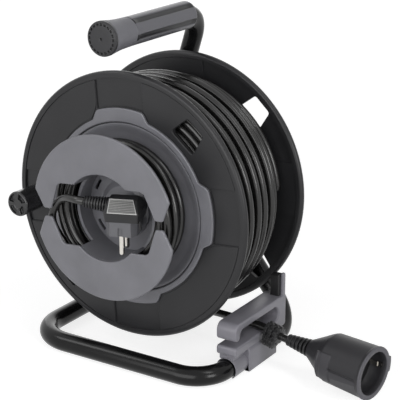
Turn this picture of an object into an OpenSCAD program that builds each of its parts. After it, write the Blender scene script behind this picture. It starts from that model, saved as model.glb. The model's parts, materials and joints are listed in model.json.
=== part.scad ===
// Extension cord reel: a bent tube stand, a drum on a stub axle with a crank knob,
// a front spool that stows the plug lead, a cable guide and one trailing coupling.
// Millimetres, +Z up, the front of the drum faces -Y. The stand rests on z = 0.

/* [Stand] */
// Outside diameter of the stand tube
tube_d = 18; // [16:0.5:20]
// Wall of the stand tube
tube_wall = 1.5; // [1.2:0.1:2]
// Depth of the stand over its tubes, front to back
stand_depth = 172; // [168:1:180]
// Distance of the left floor run from the drum axis
left_run_x = 91; // [86:1:94]
// Distance of the right floor run from the drum axis
right_run_x = 106; // [103:1:110]
// Height of the handle axis above the floor
handle_z = 303; // [298:1:320]
// Bend radius of the two left floor corners
left_bend_r = 39; // [32:1:42]
// Bend radius of the two right floor corners
right_bend_r = 31; // [28:1:36]
// Bend radius under the handle
top_bend_r = 25; // [22:1:28]

/* [Handle] */
// Outside diameter of the fluted sleeve
grip_d = 26; // [24:0.5:28]
// Length of the fluted sleeve
grip_l = 95; // [85:1:98]
// Length of the plain collar in front of the sleeve
collar_l = 33; // [28:1:36]
// Largest diameter of the collar and of the end cap
cap_d = 31; // [29:0.5:33]
// Thickness of the end cap in front of the collar
cap_t = 4; // [3:0.5:5]
// Number of flutes around the sleeve
flutes = 6; // [4:1:8]
// Depth of a flute
flute_depth = 1; // [0.6:0.1:1.4]

/* [Drum] */
// Diameter of both flanges
flange_d = 250; // [246:1:252]
// Width of the drum over both rims
drum_w = 107; // [105:0.5:108]
// Height of the drum axis above the floor
axle_z = 143; // [140:1:150]
// Turn of the drum as it stands
drum_turn = 4.5; // [0:0.5:8]
// Width of a rim
rim_w = 6.5; // [5.5:0.5:7]
// Wall of a flange
web_t = 3.5; // [3:0.1:4]
// Depth of the pressed sectors
sector_step = 1.2; // [0.8:0.1:1.5]
// Outside diameter of the barrel
barrel_d = 160; // [158:1:164]
// Wall of the barrel
barrel_wall = 2.5; // [2:0.1:3]
// Width of the pressed sectors
sector_w = 50; // [46:1:54]
// Radial height of a window in a flange
window_h = 21.5; // [18:0.5:22]
// Width of a window on the side of the axle
window_w = 29; // [24:1:30]
// Inner radius of the front windows
front_window_r = 90.5; // [89:0.5:92]
// Inner radius of the rear windows
rear_window_r = 95; // [93:0.5:96]

/* [Axle] */
// Diameter of the stub axle
axle_d = 16; // [14:0.5:17]
// Wall of a bush
bush_wall = 3; // [2.5:0.1:3.5]
// Length of a bush
bush_l = 14; // [10:1:15]
// Running clearance of the axle, on the radius
run_gap = 0.06; // [0.04:0.01:0.08]
// Play of the drum along its axle
end_play = 0.3; // [0.25:0.05:0.35]
// Gap between the drum and the stand tube, for the saddle and a washer
rear_gap = 6; // [5.5:0.1:7]
// Thickness of the washers
washer_t = 1; // [0.8:0.1:1.2]
// Diameter of the bolt that holds the axle to the stand
bolt_d = 8; // [6:0.5:8]
// Length of the saddle along the brace
saddle_l = 48; // [42:1:52]
// Width of the saddle across the brace
saddle_w = 28; // [24:1:32]

/* [Lead spool] */
// Diameter of the opening in the front disc
opening_d = 80; // [78:0.5:81]
// Wall of the spool core
core_wall = 3; // [2.5:0.1:3.5]
// Diameter of the front disc
disc_d = 153; // [148:1:156]
// Thickness of the front disc
disc_t = 3; // [2.5:0.1:3.5]
// Height of the front face of the disc over the drum's middle
disc_front = 92.8; // [92.5:0.1:94]
// Height of the lower side rims of the core over the drum's middle
side_rim = 72; // [66:1:74]
// Height of the floor of the cup over the drum's middle
cup_floor = 55; // [54.5:0.1:55.2]
// Width of the two slits that let the lead pass
slit_w = 7.6; // [7.4:0.1:9]
// Distance of the seam between the ring plate and the dish inside the barrel's surface
seam_inset = 1; // [0.6:0.2:2]
// Width of the ring plate between its lobes
ring_w = 5.6; // [5:0.1:6]
// Rise of the lobes over the ring plate's outline
lobe_rise = 7.4; // [6:0.2:7.8]
// Height of the ring plate over the flange
ring_t = 2.5; // [2:0.1:3]

/* [Knob] */
// Diameter of the crank knob
knob_d = 24; // [20:0.5:24]
// Length of the crank knob
knob_l = 28.6; // [24:0.2:32]
// Gap between the knob and the lobe beside it
knob_gap = 1.3; // [1:0.1:2]
// Diameter of the knob's pin
pin_d = 8; // [7:0.5:9]

/* [Cords] */
// Diameter of both cords
cord_d = 7.2; // [7:0.1:7.2]
// Loops in the outer layer on the drum
drum_loops = 6; // [4:1:8]
// Radius of the middle of the outer layer
winding_r = 110.4; // [108:0.2:110.4]
// Drop of the outer layer towards the rear flange
rear_drop = 9; // [0:0.5:10]
// Loops in each layer of the stowed lead
layer_loops = 2.25; // [1.25:1:2.25]
// Step from loop to loop in a layer of the lead
loop_step = 7.7; // [7.65:0.01:7.75]

/* [Cable guide] */
// Width of the guide's arms
guide_w = 20; // [18:0.5:20]
// Length of the guide's arms
guide_l = 91; // [88:1:92]
// Clear height of the guide's slot
slot_h = 15; // [14:0.5:17]
// Thickness of the guide's arms
arm_t = 7; // [6:0.5:7.5]
// Clear height of the mouth where the cord snaps in
mouth_h = 6; // [5:0.5:6.5]
// Wall of the guide around the tube
clamp_wall = 2.5; // [2:0.1:3]
// Height of the post over the upper arm
post_h = 22; // [18:1:26]

/* [Coupling] */
// Diameter of the coupling at its mouth
mouth_d = 49; // [48.5:0.1:49.5]
// Diameter of the socket's well
well_d = 39.6; // [39:0.2:40.4]
// Depth of the socket's well
well_depth = 17.5; // [17:0.1:18.5]
// Length of the coupling's body without its strain relief
coupling_l = 67; // [64:1:70]
// Distance between the two contacts, and between the plug's pins
contact_step = 19; // [19:0.1:19.2]
// Diameter of a contact hole in the socket
contact_hole_d = 5.2; // [5:0.1:5.6]
// Diameter of a plug pin
plug_pin_d = 4.8; // [4.7:0.05:4.9]
// Length of a plug pin
plug_pin_l = 19; // [18.5:0.1:19.5]

/* [Hidden] */
$fn = 64;

fit_gap = 0.05;
safe_gap = 0.3;
overlap = 1;
seam = 0.02;
swell = 0.16; // the tube is this much thicker in a bend than along a straight

// Stand: the axis of the tube goes from corner to corner
tube_r = tube_d / 2;
run_r = tube_r - swell;
bolt_head = 5;
run_y = stand_depth / 2 - tube_r - bolt_head / 2;
front_y = run_y - stand_depth + tube_d;
handle_corner = [0, run_y, handle_z];
handle_mouth = [0, front_y, handle_z];
rear_left = [-left_run_x, run_y, tube_r];
front_left = [-left_run_x, front_y, tube_r];
front_right = [right_run_x, front_y, tube_r];
rear_right = [right_run_x, run_y, tube_r];
hub = [0, run_y, axle_z];
upright_dir = unit(handle_corner - rear_left);
brace_dir = unit(hub - rear_right);
brace_end = crossing(rear_right, brace_dir, rear_left, upright_dir);

// Drum: measured forward from its middle plane
drum_y = run_y - tube_r - rear_gap - drum_w / 2;
flange_r = flange_d / 2;
rim_front = drum_w / 2;
web_inset = 1;
web_front = rim_front - web_inset;
web_back = web_front - web_t;
rim_depth = 6;
rim_inner_r = flange_r - rim_depth;
barrel_r = barrel_d / 2;
recess_r = barrel_r - barrel_wall - fit_gap;
recess_depth = 6;
recess_front = web_front - recess_depth;
recess_back = recess_front - web_t;
hub_wall = 4;
window_corner = 3;
axle_r = axle_d / 2;
bush_r = axle_r + run_gap + bush_wall;
hub_r = bush_r + fit_gap + hub_wall;
lip_t = 2;
lip_r = axle_r + 1;
seam_r = barrel_r - seam_inset;
ring_r = seam_r + ring_w;
lobe_r = ring_r + lobe_rise;
lobe_inset = 1.5;
lobe_half = sector_w / 2 - lobe_inset;
lobe_ramp = [9.5, 7];
sector_gap = 0.5;
sector_r = [lobe_r + 2 * sector_gap, rim_inner_r - sector_gap];
screw_bite = 6;
screw_inset = 11;
screw_circle_r = barrel_r - barrel_wall - screw_inset;
screw_r = 2.5;
screw_head_r = 4.5;
screw_head_t = 3;
boss_r = 6;

// Axle ends, measured forward from the drum's middle
washer_r = bush_r + 2;
front_washer_back = cup_floor + end_play;
clip_t = 1;
clip_back = front_washer_back + washer_t + 0.1;
axle_front = clip_back + clip_t + 0.9;
groove_depth = 1;
cap_front = axle_front + 0.4 + 1.2;
hub_cap_r = 26;

// Lead spool
core_in_r = opening_d / 2;
core_r = core_in_r + core_wall;
disc_back = disc_front - disc_t;
disc_r = disc_d / 2;
dish_rise = 2;
dish_slope = 11.5;
dish_step = 1;
dish_inner_front = web_front - dish_rise;
neck_x = [57, 65];
notch_x = 73.5;
cutout = [[28, 28.5], [44, 28.5], [47.5, 26.5], [neck_x[0], slit_w / 2]];
spool_screw_r = 27;

// Knob
knob_back = web_front + 2;
knob_r = knob_d / 2;
crank_r = lobe_r + knob_r + knob_gap;
pin_r = pin_d / 2;
pin_head_r = pin_r + 2.5;
pin_boss_wall = 4;
pin_head_t = 2.5;
knob_socket = 6;

// Handle
grip_rear = run_y - top_bend_r + 1;
sleeve_front = grip_rear - grip_l;
collar_front = sleeve_front - collar_l;
cap_plug_l = 14;

// Lead coil: loops about the spool core, from the dish out to the disc
lead_in_r = core_r - 0.2 + cord_d / 2;
lead_layers = 4;
lead_turns = layer_loops * lead_layers;
lead_first = dish_inner_front + cord_d / 2 + 0.5;
lead_last = disc_back - cord_d * 1.5 - 0.4;
lead_rise = (lead_last - lead_first) / (lead_layers - 1);
lead_end_angle = 226;
coil_rings = 24;
coil_sides = 6;
half_winding = 42;
dip_share = 0.4; // of the loops, counted from the rear flange
core_surface_r = winding_r - cord_d / 2 + 0.3;

// Lead: points from the coil's end to the plug's strain relief, in the drum's frame, heights over the disc
lead_route = [
    [-54, -35.2, -10.9], [-58, -28.6, -9.6], [-60.8, -21.6, -7.6], [-62.3, -14.3, -5.6],
    [-62.2, -7.2, -4.2], [-60.2, -0.8, -3.8], [-56.4, 5, -3.8], [-51.2, 9.9, -2.8],
    [-45, 13.3, -0.7], [-38.4, 15.3, 2.2], [-31.4, 16.3, 4.6], [-23.4, 16.3, 6.2], [-15.2, 15.4, 5.2]];
lead_line = [for (p = lead_route) p + [0, 0, disc_back]];
plug_at = lead_line[len(lead_line) - 1];
plug_twist = 22;
relief_l = 20.5;
relief_height = 24;
relief_tilt = 5;

// Tail: points from under the winding, through the guide, to the coupling
tail_route = [
    [-14, 24.5, 24.9], [-4, 24.1, 24.7], [6, 23.5, 24.8], [16, 22.7, 25.2], [26, 21.5, 26],
    [36, 19.9, 27.1],
    [46, 17.8, 28.4], [56, 15.2, 29.8], [66, 12.3, 31.1], [76, 9.4, 32.4], [86, 6.7, 33.5],
    [96, 4.3, 34.4], [106, 2.4, 34.8], [114, 1.2, 34.5], [121, 0.2, 33.4], [128, -0.8, 32],
    [135, -1.7, 30.7], [143, -2.6, 29.8], [151, -3.6, 29.5]];
coupling_at = tail_route[len(tail_route) - 1];
coupling_turn = -8;
coupling_tilt = 3;
coupling_relief_l = 19;
clip_at = tail_route[15];
clip_dir = unit(tail_route[16] - tail_route[14]);
clip_l = 14;

// Cable guide
guide_front = -48.5;
guide_x = right_run_x;
lower_arm_z = tube_r + tube_r + clamp_wall + 3.2;
slot_bottom = lower_arm_z + arm_t;
slot_top = slot_bottom + slot_h;
guide_top = slot_top + arm_t;
lip_l = 8;
rear_bar = 14;

// Plug
plug_half = 15.5;
plug_flat = 14;
plug_insert_h = 13.6;
plug_ridge_h = 22.4;
plug_top = 30;

// ---------- helpers ----------
function unit(v) = v / norm(v);
function crossing(p, d, q, e) = // where two lines of the rear plane meet
    let (w = q - p, den = d[0] * e[2] - d[2] * e[0])
    p + d * ((w[0] * e[2] - w[2] * e[0]) / den);
function bend_reach(a, b, c, r) = // from a corner to where its bend starts
    let (half = acos(unit(a - b) * unit(c - b)) / 2) r / tan(half);

module place(origin, x, y, z) {
    multmatrix([
        [x[0], y[0], z[0], origin[0]],
        [x[1], y[1], z[1], origin[1]],
        [x[2], y[2], z[2], origin[2]],
        [0, 0, 0, 1]]) children();
}

module tube_section() {
    difference() {
        circle(r = tube_r);
        circle(r = tube_r - tube_wall);
    }
}

module straight(a, b) {
    z = unit(b - a);
    side = abs(z[1]) > 0.9 ? [1, 0, 0] : [0, 1, 0];
    x = unit(cross(side, z));
    place(a, x, cross(z, x), z) linear_extrude(norm(b - a)) children();
}

module bend(a, b, c, r) { // the arc that rounds corner b
    u = unit(a - b);
    v = unit(c - b);
    half = acos(u * v) / 2;
    middle = b + unit(u + v) * (r / sin(half));
    x = unit(b + u * (r / tan(half)) - middle);
    place(middle, x, -u, cross(x, -u))
        rotate_extrude(angle = 180 - 2 * half) translate([r, 0]) children();
}

// The drum's own frame: x right, y up and z forward, as seen from the front
module at_drum() {
    translate([0, drum_y, axle_z]) rotate([90, 0, 0]) rotate([0, 0, drum_turn]) children();
}

module spun(points) { rotate_extrude() polygon(points); }

module disc_at(z0, z1, r) { translate([0, 0, z0]) cylinder(h = z1 - z0, r = r); }

module around(count, first, radius) {
    for (i = [0:count - 1])
        rotate([0, 0, first + i * 360 / count]) translate([radius, 0, 0]) children();
}

module wedge(half_angle, r) {
    polygon([[0, 0], [r, -r * tan(half_angle)], [r, r * tan(half_angle)]]);
}

// A closed tube through points: one ring of corners at each, triangles between
function path_dir(p, i) = unit(p[min(i + 1, len(p) - 1)] - p[max(i - 1, 0)]);
function ring_at(p, dir, ref, r, sides) =
    let (n = unit(ref - (ref * dir) * dir), b = cross(dir, n))
    [for (k = [0:sides - 1]) p + r * (cos(k * 360 / sides) * n + sin(k * 360 / sides) * b)];
module swept(path, refs, r, sides) {
    n = len(path);
    points = [for (i = [0:n - 1]) each ring_at(path[i], path_dir(path, i), refs[i], r, sides)];
    walls = [for (i = [0:n - 2], k = [0:sides - 1])
        let (a = i * sides + k, b = i * sides + (k + 1) % sides)
        each [[a, a + sides, b + sides], [a, b + sides, b]]];
    first = [for (k = [1:sides - 2]) [0, k, k + 1]];
    last = [for (k = [1:sides - 2]) [(n - 1) * sides, (n - 1) * sides + k + 1, (n - 1) * sides + k]];
    polyhedron(points = points, faces = concat(walls, first, last));
}
function same(v, n) = [for (i = [1:n]) v];

function ease(t) = let (u = min(1, max(0, t))) u * u * (3 - 2 * u);

// Lead coil: t counts its loops; the radius runs in and out, a layer for each run
function lead_radius(t) =
    let (q = t / layer_loops, f = q - 2 * floor(q / 2))
    lead_in_r + loop_step * layer_loops * abs(f - 1);
function lead_height(t) =
    lead_first + lead_rise * ([for (k = [1:lead_layers - 1]) ease((t - k * layer_loops + 0.25) / 0.5)]
        * [for (k = [1:lead_layers - 1]) 1]);
function lead_angle(t) = lead_end_angle + (lead_turns - t) * 360;
function lead_point(t) =
    [lead_radius(t) * cos(lead_angle(t)), lead_radius(t) * sin(lead_angle(t)), lead_height(t)];
lead_steps = lead_turns * coil_rings;
lead_loops = [for (i = [0:lead_steps]) lead_point(i / coil_rings)];
lead_start_dir = [sin(lead_angle(0)), -cos(lead_angle(0)), 0];
lead_end_dir = [sin(lead_end_angle), -cos(lead_end_angle), 0];
lead_path = concat(
    [lead_loops[0] - cord_d * lead_start_dir], lead_loops,
        [lead_loops[lead_steps] + cord_d * lead_end_dir]);

// Outer layer on the drum: loops that step along the axle, and dip towards the rear flange
winding_steps = drum_loops * coil_rings;
function winding_dip(t) = rear_drop * max(0, 1 - t / (dip_share * drum_loops));
function winding_point(t) =
    let (r = winding_r - winding_dip(t))
    [r * cos(t * 360), r * sin(t * 360), -half_winding + 2 * half_winding * t / drum_loops];
winding_loops = [for (i = [0:winding_steps]) winding_point(i / coil_rings)];
winding_path = concat(
    [winding_loops[0] - [0, cord_d, 0]], winding_loops, [winding_loops[winding_steps] + [0, cord_d, 0]]);

function outward(p) = [p[0], p[1], 0];
function least_gap(p, skip) = // between points more than half a loop apart along the tube
    min([for (i = [0:len(p) - 1], j = [i + skip:1:len(p) - 1]) norm(p[i] - p[j])]) - cord_d;
echo(str("lead_coil least gap ", least_gap(lead_path, coil_rings / 2), " mm"));
echo(str("cord_winding least gap ", least_gap(winding_path, coil_rings / 2), " mm"));

// ---------- stand ----------
// The stand's one long tube: each straight runs a little way into its bends, which are a hair thicker
module main_run(r, brace_stop) {
    r1 = bend_reach(front_left, rear_left, handle_corner, left_bend_r);
    r2 = bend_reach(rear_left, handle_corner, handle_mouth, top_bend_r);
    r5 = bend_reach(front_right, rear_right, hub, right_bend_r);
    back = [0, 1, 0];
    right = [1, 0, 0];
    lap = 0.4;
    thin = r - swell;
    straight([0, collar_front, handle_z], handle_corner - (r2 - lap) * back) circle(r = thin);
    bend(handle_mouth, handle_corner, rear_left, top_bend_r) circle(r = r);
    straight(handle_corner - (r2 - lap) * upright_dir,
        rear_left + (r1 - lap) * upright_dir) circle(r = thin);
    bend(handle_corner, rear_left, front_left, left_bend_r) circle(r = r);
    straight(rear_left - (r1 - lap) * back, front_left + (left_bend_r - lap) * back) circle(r = thin);
    bend(rear_left, front_left, front_right, left_bend_r) circle(r = r);
    straight(front_left + (left_bend_r - lap) * right, front_right - (right_bend_r - lap) * right)
        circle(r = thin);
    bend(front_left, front_right, rear_right, right_bend_r) circle(r = r);
    straight(front_right + (right_bend_r - lap) * back, rear_right - (r5 - lap) * back) circle(r = thin);
    bend(front_right, rear_right, hub, right_bend_r) circle(r = r);
    straight(rear_right + (r5 - lap) * brace_dir, brace_end - brace_dir * brace_stop) circle(r = thin);
}

module frame_tube() {
    bore_r = tube_r - tube_wall;
    meeting = [brace_dir * upright_dir, norm(cross(brace_dir, upright_dir))];
    color("#1b1b1d") difference() {
        main_run(tube_r, 0);
        main_run(bore_r, (tube_r + bore_r * meeting[0]) / meeting[1]);
        translate(hub + [0, tube_d, 0]) rotate([90, 0, 0])
            cylinder(h = 2 * tube_d, r = bolt_d / 2 + fit_gap);
    }
}

// A block that seats the axle on the round front of the brace
module axle_saddle() {
    color("#232326") difference() {
        place(hub, brace_dir, [0, -1, 0], cross(brace_dir, [0, -1, 0]))
            translate([-saddle_l / 2, 0, -saddle_w / 2])
                cube([saddle_l, tube_r + rear_gap - washer_t, saddle_w]);
        straight(rear_right, brace_end) circle(r = run_r + seam);
        translate(hub) rotate([90, 0, 0]) cylinder(h = stand_depth, r = bolt_d / 2 + fit_gap);
    }
}
saddle_front = -rim_front - washer_t;

module axle_bolt() {
    color("#b9b9bd") translate(hub) rotate([90, 0, 0]) {
        translate([0, 0, -tube_r - bolt_head]) cylinder(h = bolt_head, r = bolt_d * 0.8, $fn = 6);
        translate([0, 0, -tube_r - bolt_head / 2])
            cylinder(h = tube_d + bolt_head / 2 + 18, r = bolt_d / 2);
    }
}

module axle() {
    color("#b9b9bd") at_drum() difference() {
        disc_at(saddle_front, axle_front, axle_r);
        disc_at(saddle_front - overlap, saddle_front + 20, bolt_d / 2 + fit_gap);
        difference() {
            disc_at(clip_back, clip_back + clip_t, axle_r + overlap);
            disc_at(clip_back, clip_back + clip_t, axle_r - groove_depth);
        }
    }
}

module washer_ring(z0, r_in, r_out) {
    difference() {
        disc_at(z0, z0 + washer_t, r_out);
        disc_at(z0 - overlap, z0 + washer_t + overlap, r_in);
    }
}

module rear_washer() {
    color("#b9b9bd") at_drum() washer_ring(saddle_front, axle_r + fit_gap, washer_r);
}

module front_washer() {
    color("#b9b9bd") at_drum() washer_ring(front_washer_back, axle_r + fit_gap, washer_r);
}

module axle_clip() {
    color("#55565a") at_drum() difference() {
        disc_at(clip_back, clip_back + clip_t, axle_r + 2.5);
        disc_at(clip_back - overlap, clip_back + clip_t + overlap, axle_r - groove_depth);
        translate([axle_r / 2, -2.5, clip_back - overlap]) cube([axle_r, 5, clip_t + 2 * overlap]);
    }
}

// ---------- handle ----------
module along_handle(y0) {
    translate([0, y0, handle_z]) rotate([-90, 0, 0]) children();
}

module grip_sleeve() {
    color("#6f7076") along_handle(sleeve_front) difference() {
        cylinder(h = grip_l, r = grip_d / 2);
        translate([0, 0, -overlap]) cylinder(h = grip_l + 2 * overlap, r = run_r + fit_gap);
        around(flutes, 0, grip_d / 2 + 3.2 - flute_depth)
            translate([0, 0, 2]) cylinder(h = grip_l - 4, r = 3.2, $fn = 32);
    }
}

module grip_collar() {
    color("#6f7076") along_handle(collar_front) rotate_extrude() difference() {
        polygon([[0, 0], [cap_d / 2, 0], [cap_d / 2 - 1.4, collar_l * 0.35],
            [grip_d / 2 + 0.3, collar_l * 0.75], [grip_d / 2, collar_l], [0, collar_l]]);
        translate([-overlap, -overlap]) square([run_r + fit_gap + overlap, collar_l + 2 * overlap]);
    }
}

module grip_cap() {
    edge = cap_d / 2;
    plug_in = run_r - tube_wall - fit_gap;
    color("#3a3a3e") along_handle(collar_front) rotate_extrude() {
        polygon([[plug_in, 0], [edge, 0], [edge, -cap_t / 2], [edge - 1.6, -cap_t + 0.6],
            [edge * 0.6, -cap_t],
            [0, -cap_t], [0, cap_plug_l], [plug_in, cap_plug_l]]);
    }
}

// ---------- cable guide ----------
module guide_profile() { // seen from the right: y to the right, z up
    arm_back = guide_front + guide_l;
    mouth = slot_bottom + mouth_h;
    offset(r = 2.5, $fn = 20) offset(delta = -2.5) union() {
        translate([guide_front, slot_top]) square([guide_l, arm_t]);
        translate([arm_back - rear_bar, lower_arm_z]) square([rear_bar, guide_top - lower_arm_z]);
        translate([guide_front, lower_arm_z]) square([guide_l, arm_t]);
        translate([guide_front, mouth]) square([lip_l, guide_top - mouth]);
    }
}

module guide_inside_corners() { // webs that thicken the rear end of the slot
    arm_back = guide_front + guide_l - rear_bar;
    difference() {
        translate([arm_back - 8, slot_bottom - 1]) square([9, slot_h + 2]);
        translate([arm_back - 7.5, slot_bottom + slot_h / 2]) circle(r = slot_h / 2, $fn = 32);
        translate([arm_back - 9, slot_bottom + 0.01]) square([1.5, slot_h - 0.02]);
    }
}

module cable_guide() {
    body_front = guide_front + 21.5;
    body_l = 50;
    clamp_r = tube_r + clamp_wall;
    under = clamp_wall / 5;
    color("#77787c") difference() {
        union() {
            translate([guide_x - guide_w / 2, 0, 0]) rotate([90, 0, 90]) linear_extrude(guide_w) {
                guide_profile();
                guide_inside_corners();
            }
            translate([guide_x - clamp_r - 0.5, body_front, under])
                cube([2 * clamp_r + 1, body_l, lower_arm_z + 2 - under]);
            translate([guide_x, body_front + overlap, tube_r]) rotate([90, 0, 0])
                cylinder(h = 21 + overlap, r = clamp_r);
            translate([guide_x - guide_w / 2 + 1, guide_front + 1, tube_r + tube_r + clamp_wall - 1])
                cube([guide_w - 2, body_front - guide_front + 1,
                    lower_arm_z - tube_r * 2 - clamp_wall + 3]);
        }
        translate([guide_x, body_front + body_l + overlap, tube_r]) rotate([90, 0, 0])
            cylinder(h = guide_l + body_l, r = run_r + fit_gap);
        translate([guide_x - tube_r * 0.8, guide_front - tube_d, -tube_d])
            cube([tube_r * 1.6, guide_l + tube_d, tube_d + tube_r * 0.4]);
        translate([guide_x - 2 * tube_d, guide_front - tube_d, -tube_d])
            cube([4 * tube_d, guide_l + tube_d, tube_d + under]);
    }
}

// A channel that stands on the rear end of the upper arm, open to the front
module guide_post() {
    post_w = 12;
    post_d = 9;
    wall = 2.4;
    x0 = guide_x + guide_w / 2 - post_w;
    y0 = guide_front + guide_l - post_d - 1;
    color("#77787c") difference() {
        translate([x0, y0, guide_top]) cube([post_w, post_d, post_h]);
        translate([x0 + wall, y0 - overlap, guide_top + wall])
            cube([post_w - 2 * wall, post_d - wall + overlap, post_h - 2 * wall]);
    }
}

// ---------- drum ----------
module sector(depth) {
    linear_extrude(depth) around(4, 0, 0) intersection() {
        difference() {
            circle(r = sector_r[1]);
            circle(r = sector_r[0]);
        }
        translate([0, -sector_w / 2]) square([flange_r, sector_w]);
    }
}

function arc_corner(a, b, c, r, steps) = // the arc that rounds corner b of a polygon
    let (u = unit(a - b), v = unit(c - b), half = acos(u * v) / 2, m = b + unit(u + v) * r / sin(half),
        from = b + u * r / tan(half) - m, side = cross([u[0], u[1], 0], [v[0], v[1], 0])[2] > 0 ? -1 : 1)
    [for (i = [0:steps]) let (t = side * (180 - 2 * half) * i / steps)
        m + [from[0] * cos(t) - from[1] * sin(t), from[0] * sin(t) + from[1] * cos(t)]];
function rounded(p, r) = [for (i = [0:len(p) - 1])
    each arc_corner(p[(i + len(p) - 1) % len(p)], p[i], p[(i + 1) % len(p)], r, 4)];

module window(inner_r) {
    half_in = window_w / 2;
    half_out = half_in * 0.72;
    linear_extrude(6 * web_t, center = true) polygon(rounded([
        [inner_r, -half_in], [inner_r + window_h, -half_out],
        [inner_r + window_h, half_out], [inner_r, half_in]], window_corner));
}

module rim_section() {
    round_r = rim_w / 2;
    translate([flange_r - round_r, rim_front - round_r]) circle(r = round_r, $fn = 32);
    translate([rim_inner_r, rim_front - rim_w]) square([flange_r - round_r - rim_inner_r, rim_w]);
}

// Both flanges as the front one lies: the outer face forward
module flange_plate(hub_hole) {
    difference() {
        union() {
            rotate_extrude() {
                rim_section();
                translate([recess_r - web_t, web_back]) square([rim_inner_r + 1 - recess_r + web_t, web_t]);
                translate([recess_r - web_t, recess_back]) square([web_t, web_front - recess_back]);
                translate([hub_hole, recess_back]) square([recess_r - hub_hole, web_t]);
            }
            translate([0, 0, web_back - sector_step]) sector(sector_step + 0.2);
        }
        translate([0, 0, web_front - sector_step]) sector(sector_step + overlap);
        around(4, 45, screw_circle_r)
            disc_at(recess_back - overlap, recess_front + overlap, screw_r + fit_gap);
    }
}

module front_flange() {
    color("#38393d") at_drum() difference() {
        union() {
            flange_plate(hub_r + 1);
            rotate([0, 0, 180]) translate([crank_r, 0, web_front - sector_step - 0.2])
                cylinder(h = knob_back - safe_gap - web_front + sector_step + 0.2,
                    r = pin_r + pin_boss_wall);
        }
        around(2, 45, 0) translate([0, 0, web_back]) window(front_window_r);
        rotate([0, 0, 180]) translate([crank_r, 0, web_back - sector_step - overlap])
            cylinder(h = knob_back - web_back + sector_step + 2 * overlap, r = pin_r + fit_gap);
        around(4, 0, spool_screw_r)
            disc_at(recess_back - overlap, recess_front + overlap, screw_r + fit_gap);
    }
}

module rear_flange() {
    hub_back = rim_front - safe_gap;
    color("#38393d") at_drum() mirror([0, 0, 1]) difference() {
        union() {
            flange_plate(lip_r);
            difference() {
                disc_at(hub_back - bush_l - lip_t, hub_back, hub_r);
                disc_at(0, rim_front + overlap, lip_r);
            }
        }
        around(4, 42, 0) translate([0, 0, web_back]) window(rear_window_r);
        disc_at(0, hub_back - lip_t, bush_r + fit_gap);
    }
}

module drum_barrel() {
    color("#2e2f33") at_drum() difference() {
        union() {
            difference() {
                disc_at(-web_back, web_back, barrel_r);
                disc_at(-web_back - overlap, web_back + overlap, barrel_r - barrel_wall);
            }
            around(4, 45, screw_circle_r) disc_at(-recess_back, recess_back, boss_r);
            around(4, 45, screw_circle_r) translate([0, -1.5, -recess_back + 4])
                cube([barrel_r - barrel_wall - screw_circle_r + 1, 3, 2 * recess_back - 8]);
        }
        around(4, 45, screw_circle_r)
            disc_at(-web_back - overlap, recess_back + overlap, screw_r + fit_gap);
    }
}

// Four long screws from the rear flange to the front one
module drum_screws() {
    color("#8d8e93") at_drum() around(4, 45, screw_circle_r) {
        disc_at(-recess_front - screw_head_t, -recess_front, screw_head_r);
        disc_at(-recess_front - 0.5, recess_front - 0.5, screw_r);
    }
}

module bush(back) {
    difference() {
        disc_at(back, back + bush_l, bush_r);
        disc_at(back - overlap, back + bush_l + overlap, axle_r + run_gap);
    }
}

module rear_bush() { color("#d8d4c8") at_drum() bush(-rim_front + safe_gap + lip_t); }
module front_bush() { color("#d8d4c8") at_drum() bush(cup_floor - lip_t - bush_l); }

module cord_core() {
    core_l = half_winding + cord_d / 2 - 0.4;
    dip_end = -half_winding + 2 * half_winding * dip_share;
    color("#161617") at_drum() spun([
        [barrel_r, -core_l], [core_surface_r - rear_drop, -core_l],
        [core_surface_r - rear_drop, -half_winding],
        [core_surface_r, dip_end], [core_surface_r, core_l], [barrel_r, core_l]]);
}

module cord_winding() {
    color("#1c1c1e") at_drum()
        swept(winding_path, [for (p = winding_path) outward(p)], cord_d / 2, coil_sides);
}

// ---------- lead spool ----------
module lobe_outline() { // along x: its ends ramp down to the ring plate's outline
    tip = [sqrt(lobe_r * lobe_r - lobe_half * lobe_half), lobe_half];
    in = tip + [-1.2 * lobe_ramp[0], 1.2 * lobe_ramp[1]];
    out = tip + [0.5 * lobe_ramp[0], -0.5 * lobe_ramp[1]];
    polygon([[0, 0], [in[0], -in[1]], [out[0], -out[1]], out, in]);
}

module ring_plate() {
    color("#808188") at_drum() translate([0, 0, web_front]) difference() {
        linear_extrude(ring_t) difference() {
            union() {
                circle(r = ring_r);
                around(4, 0, 0) intersection() {
                    circle(r = lobe_r);
                    lobe_outline();
                }
            }
            circle(r = seam_r);
        }
    }
}

module spool_dish() {
    seat_r = recess_r - web_t - fit_gap;
    color("#73747b") at_drum() spun([
        [core_r + fit_gap, recess_front], [seat_r, recess_front], [seat_r, web_front],
        [seam_r - fit_gap, web_front], [seam_r - fit_gap, web_front + ring_t - dish_step],
        [seam_r - 0.35 * dish_slope, web_front + ring_t - 1.6 * dish_step],
        [seam_r - 0.7 * dish_slope, dish_inner_front + 1.3 * dish_step],
        [seam_r - dish_slope, dish_inner_front + 0.4 * dish_step],
        [seam_r - 1.65 * dish_slope, dish_inner_front],
        [core_r + fit_gap, dish_inner_front]]);
}

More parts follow.
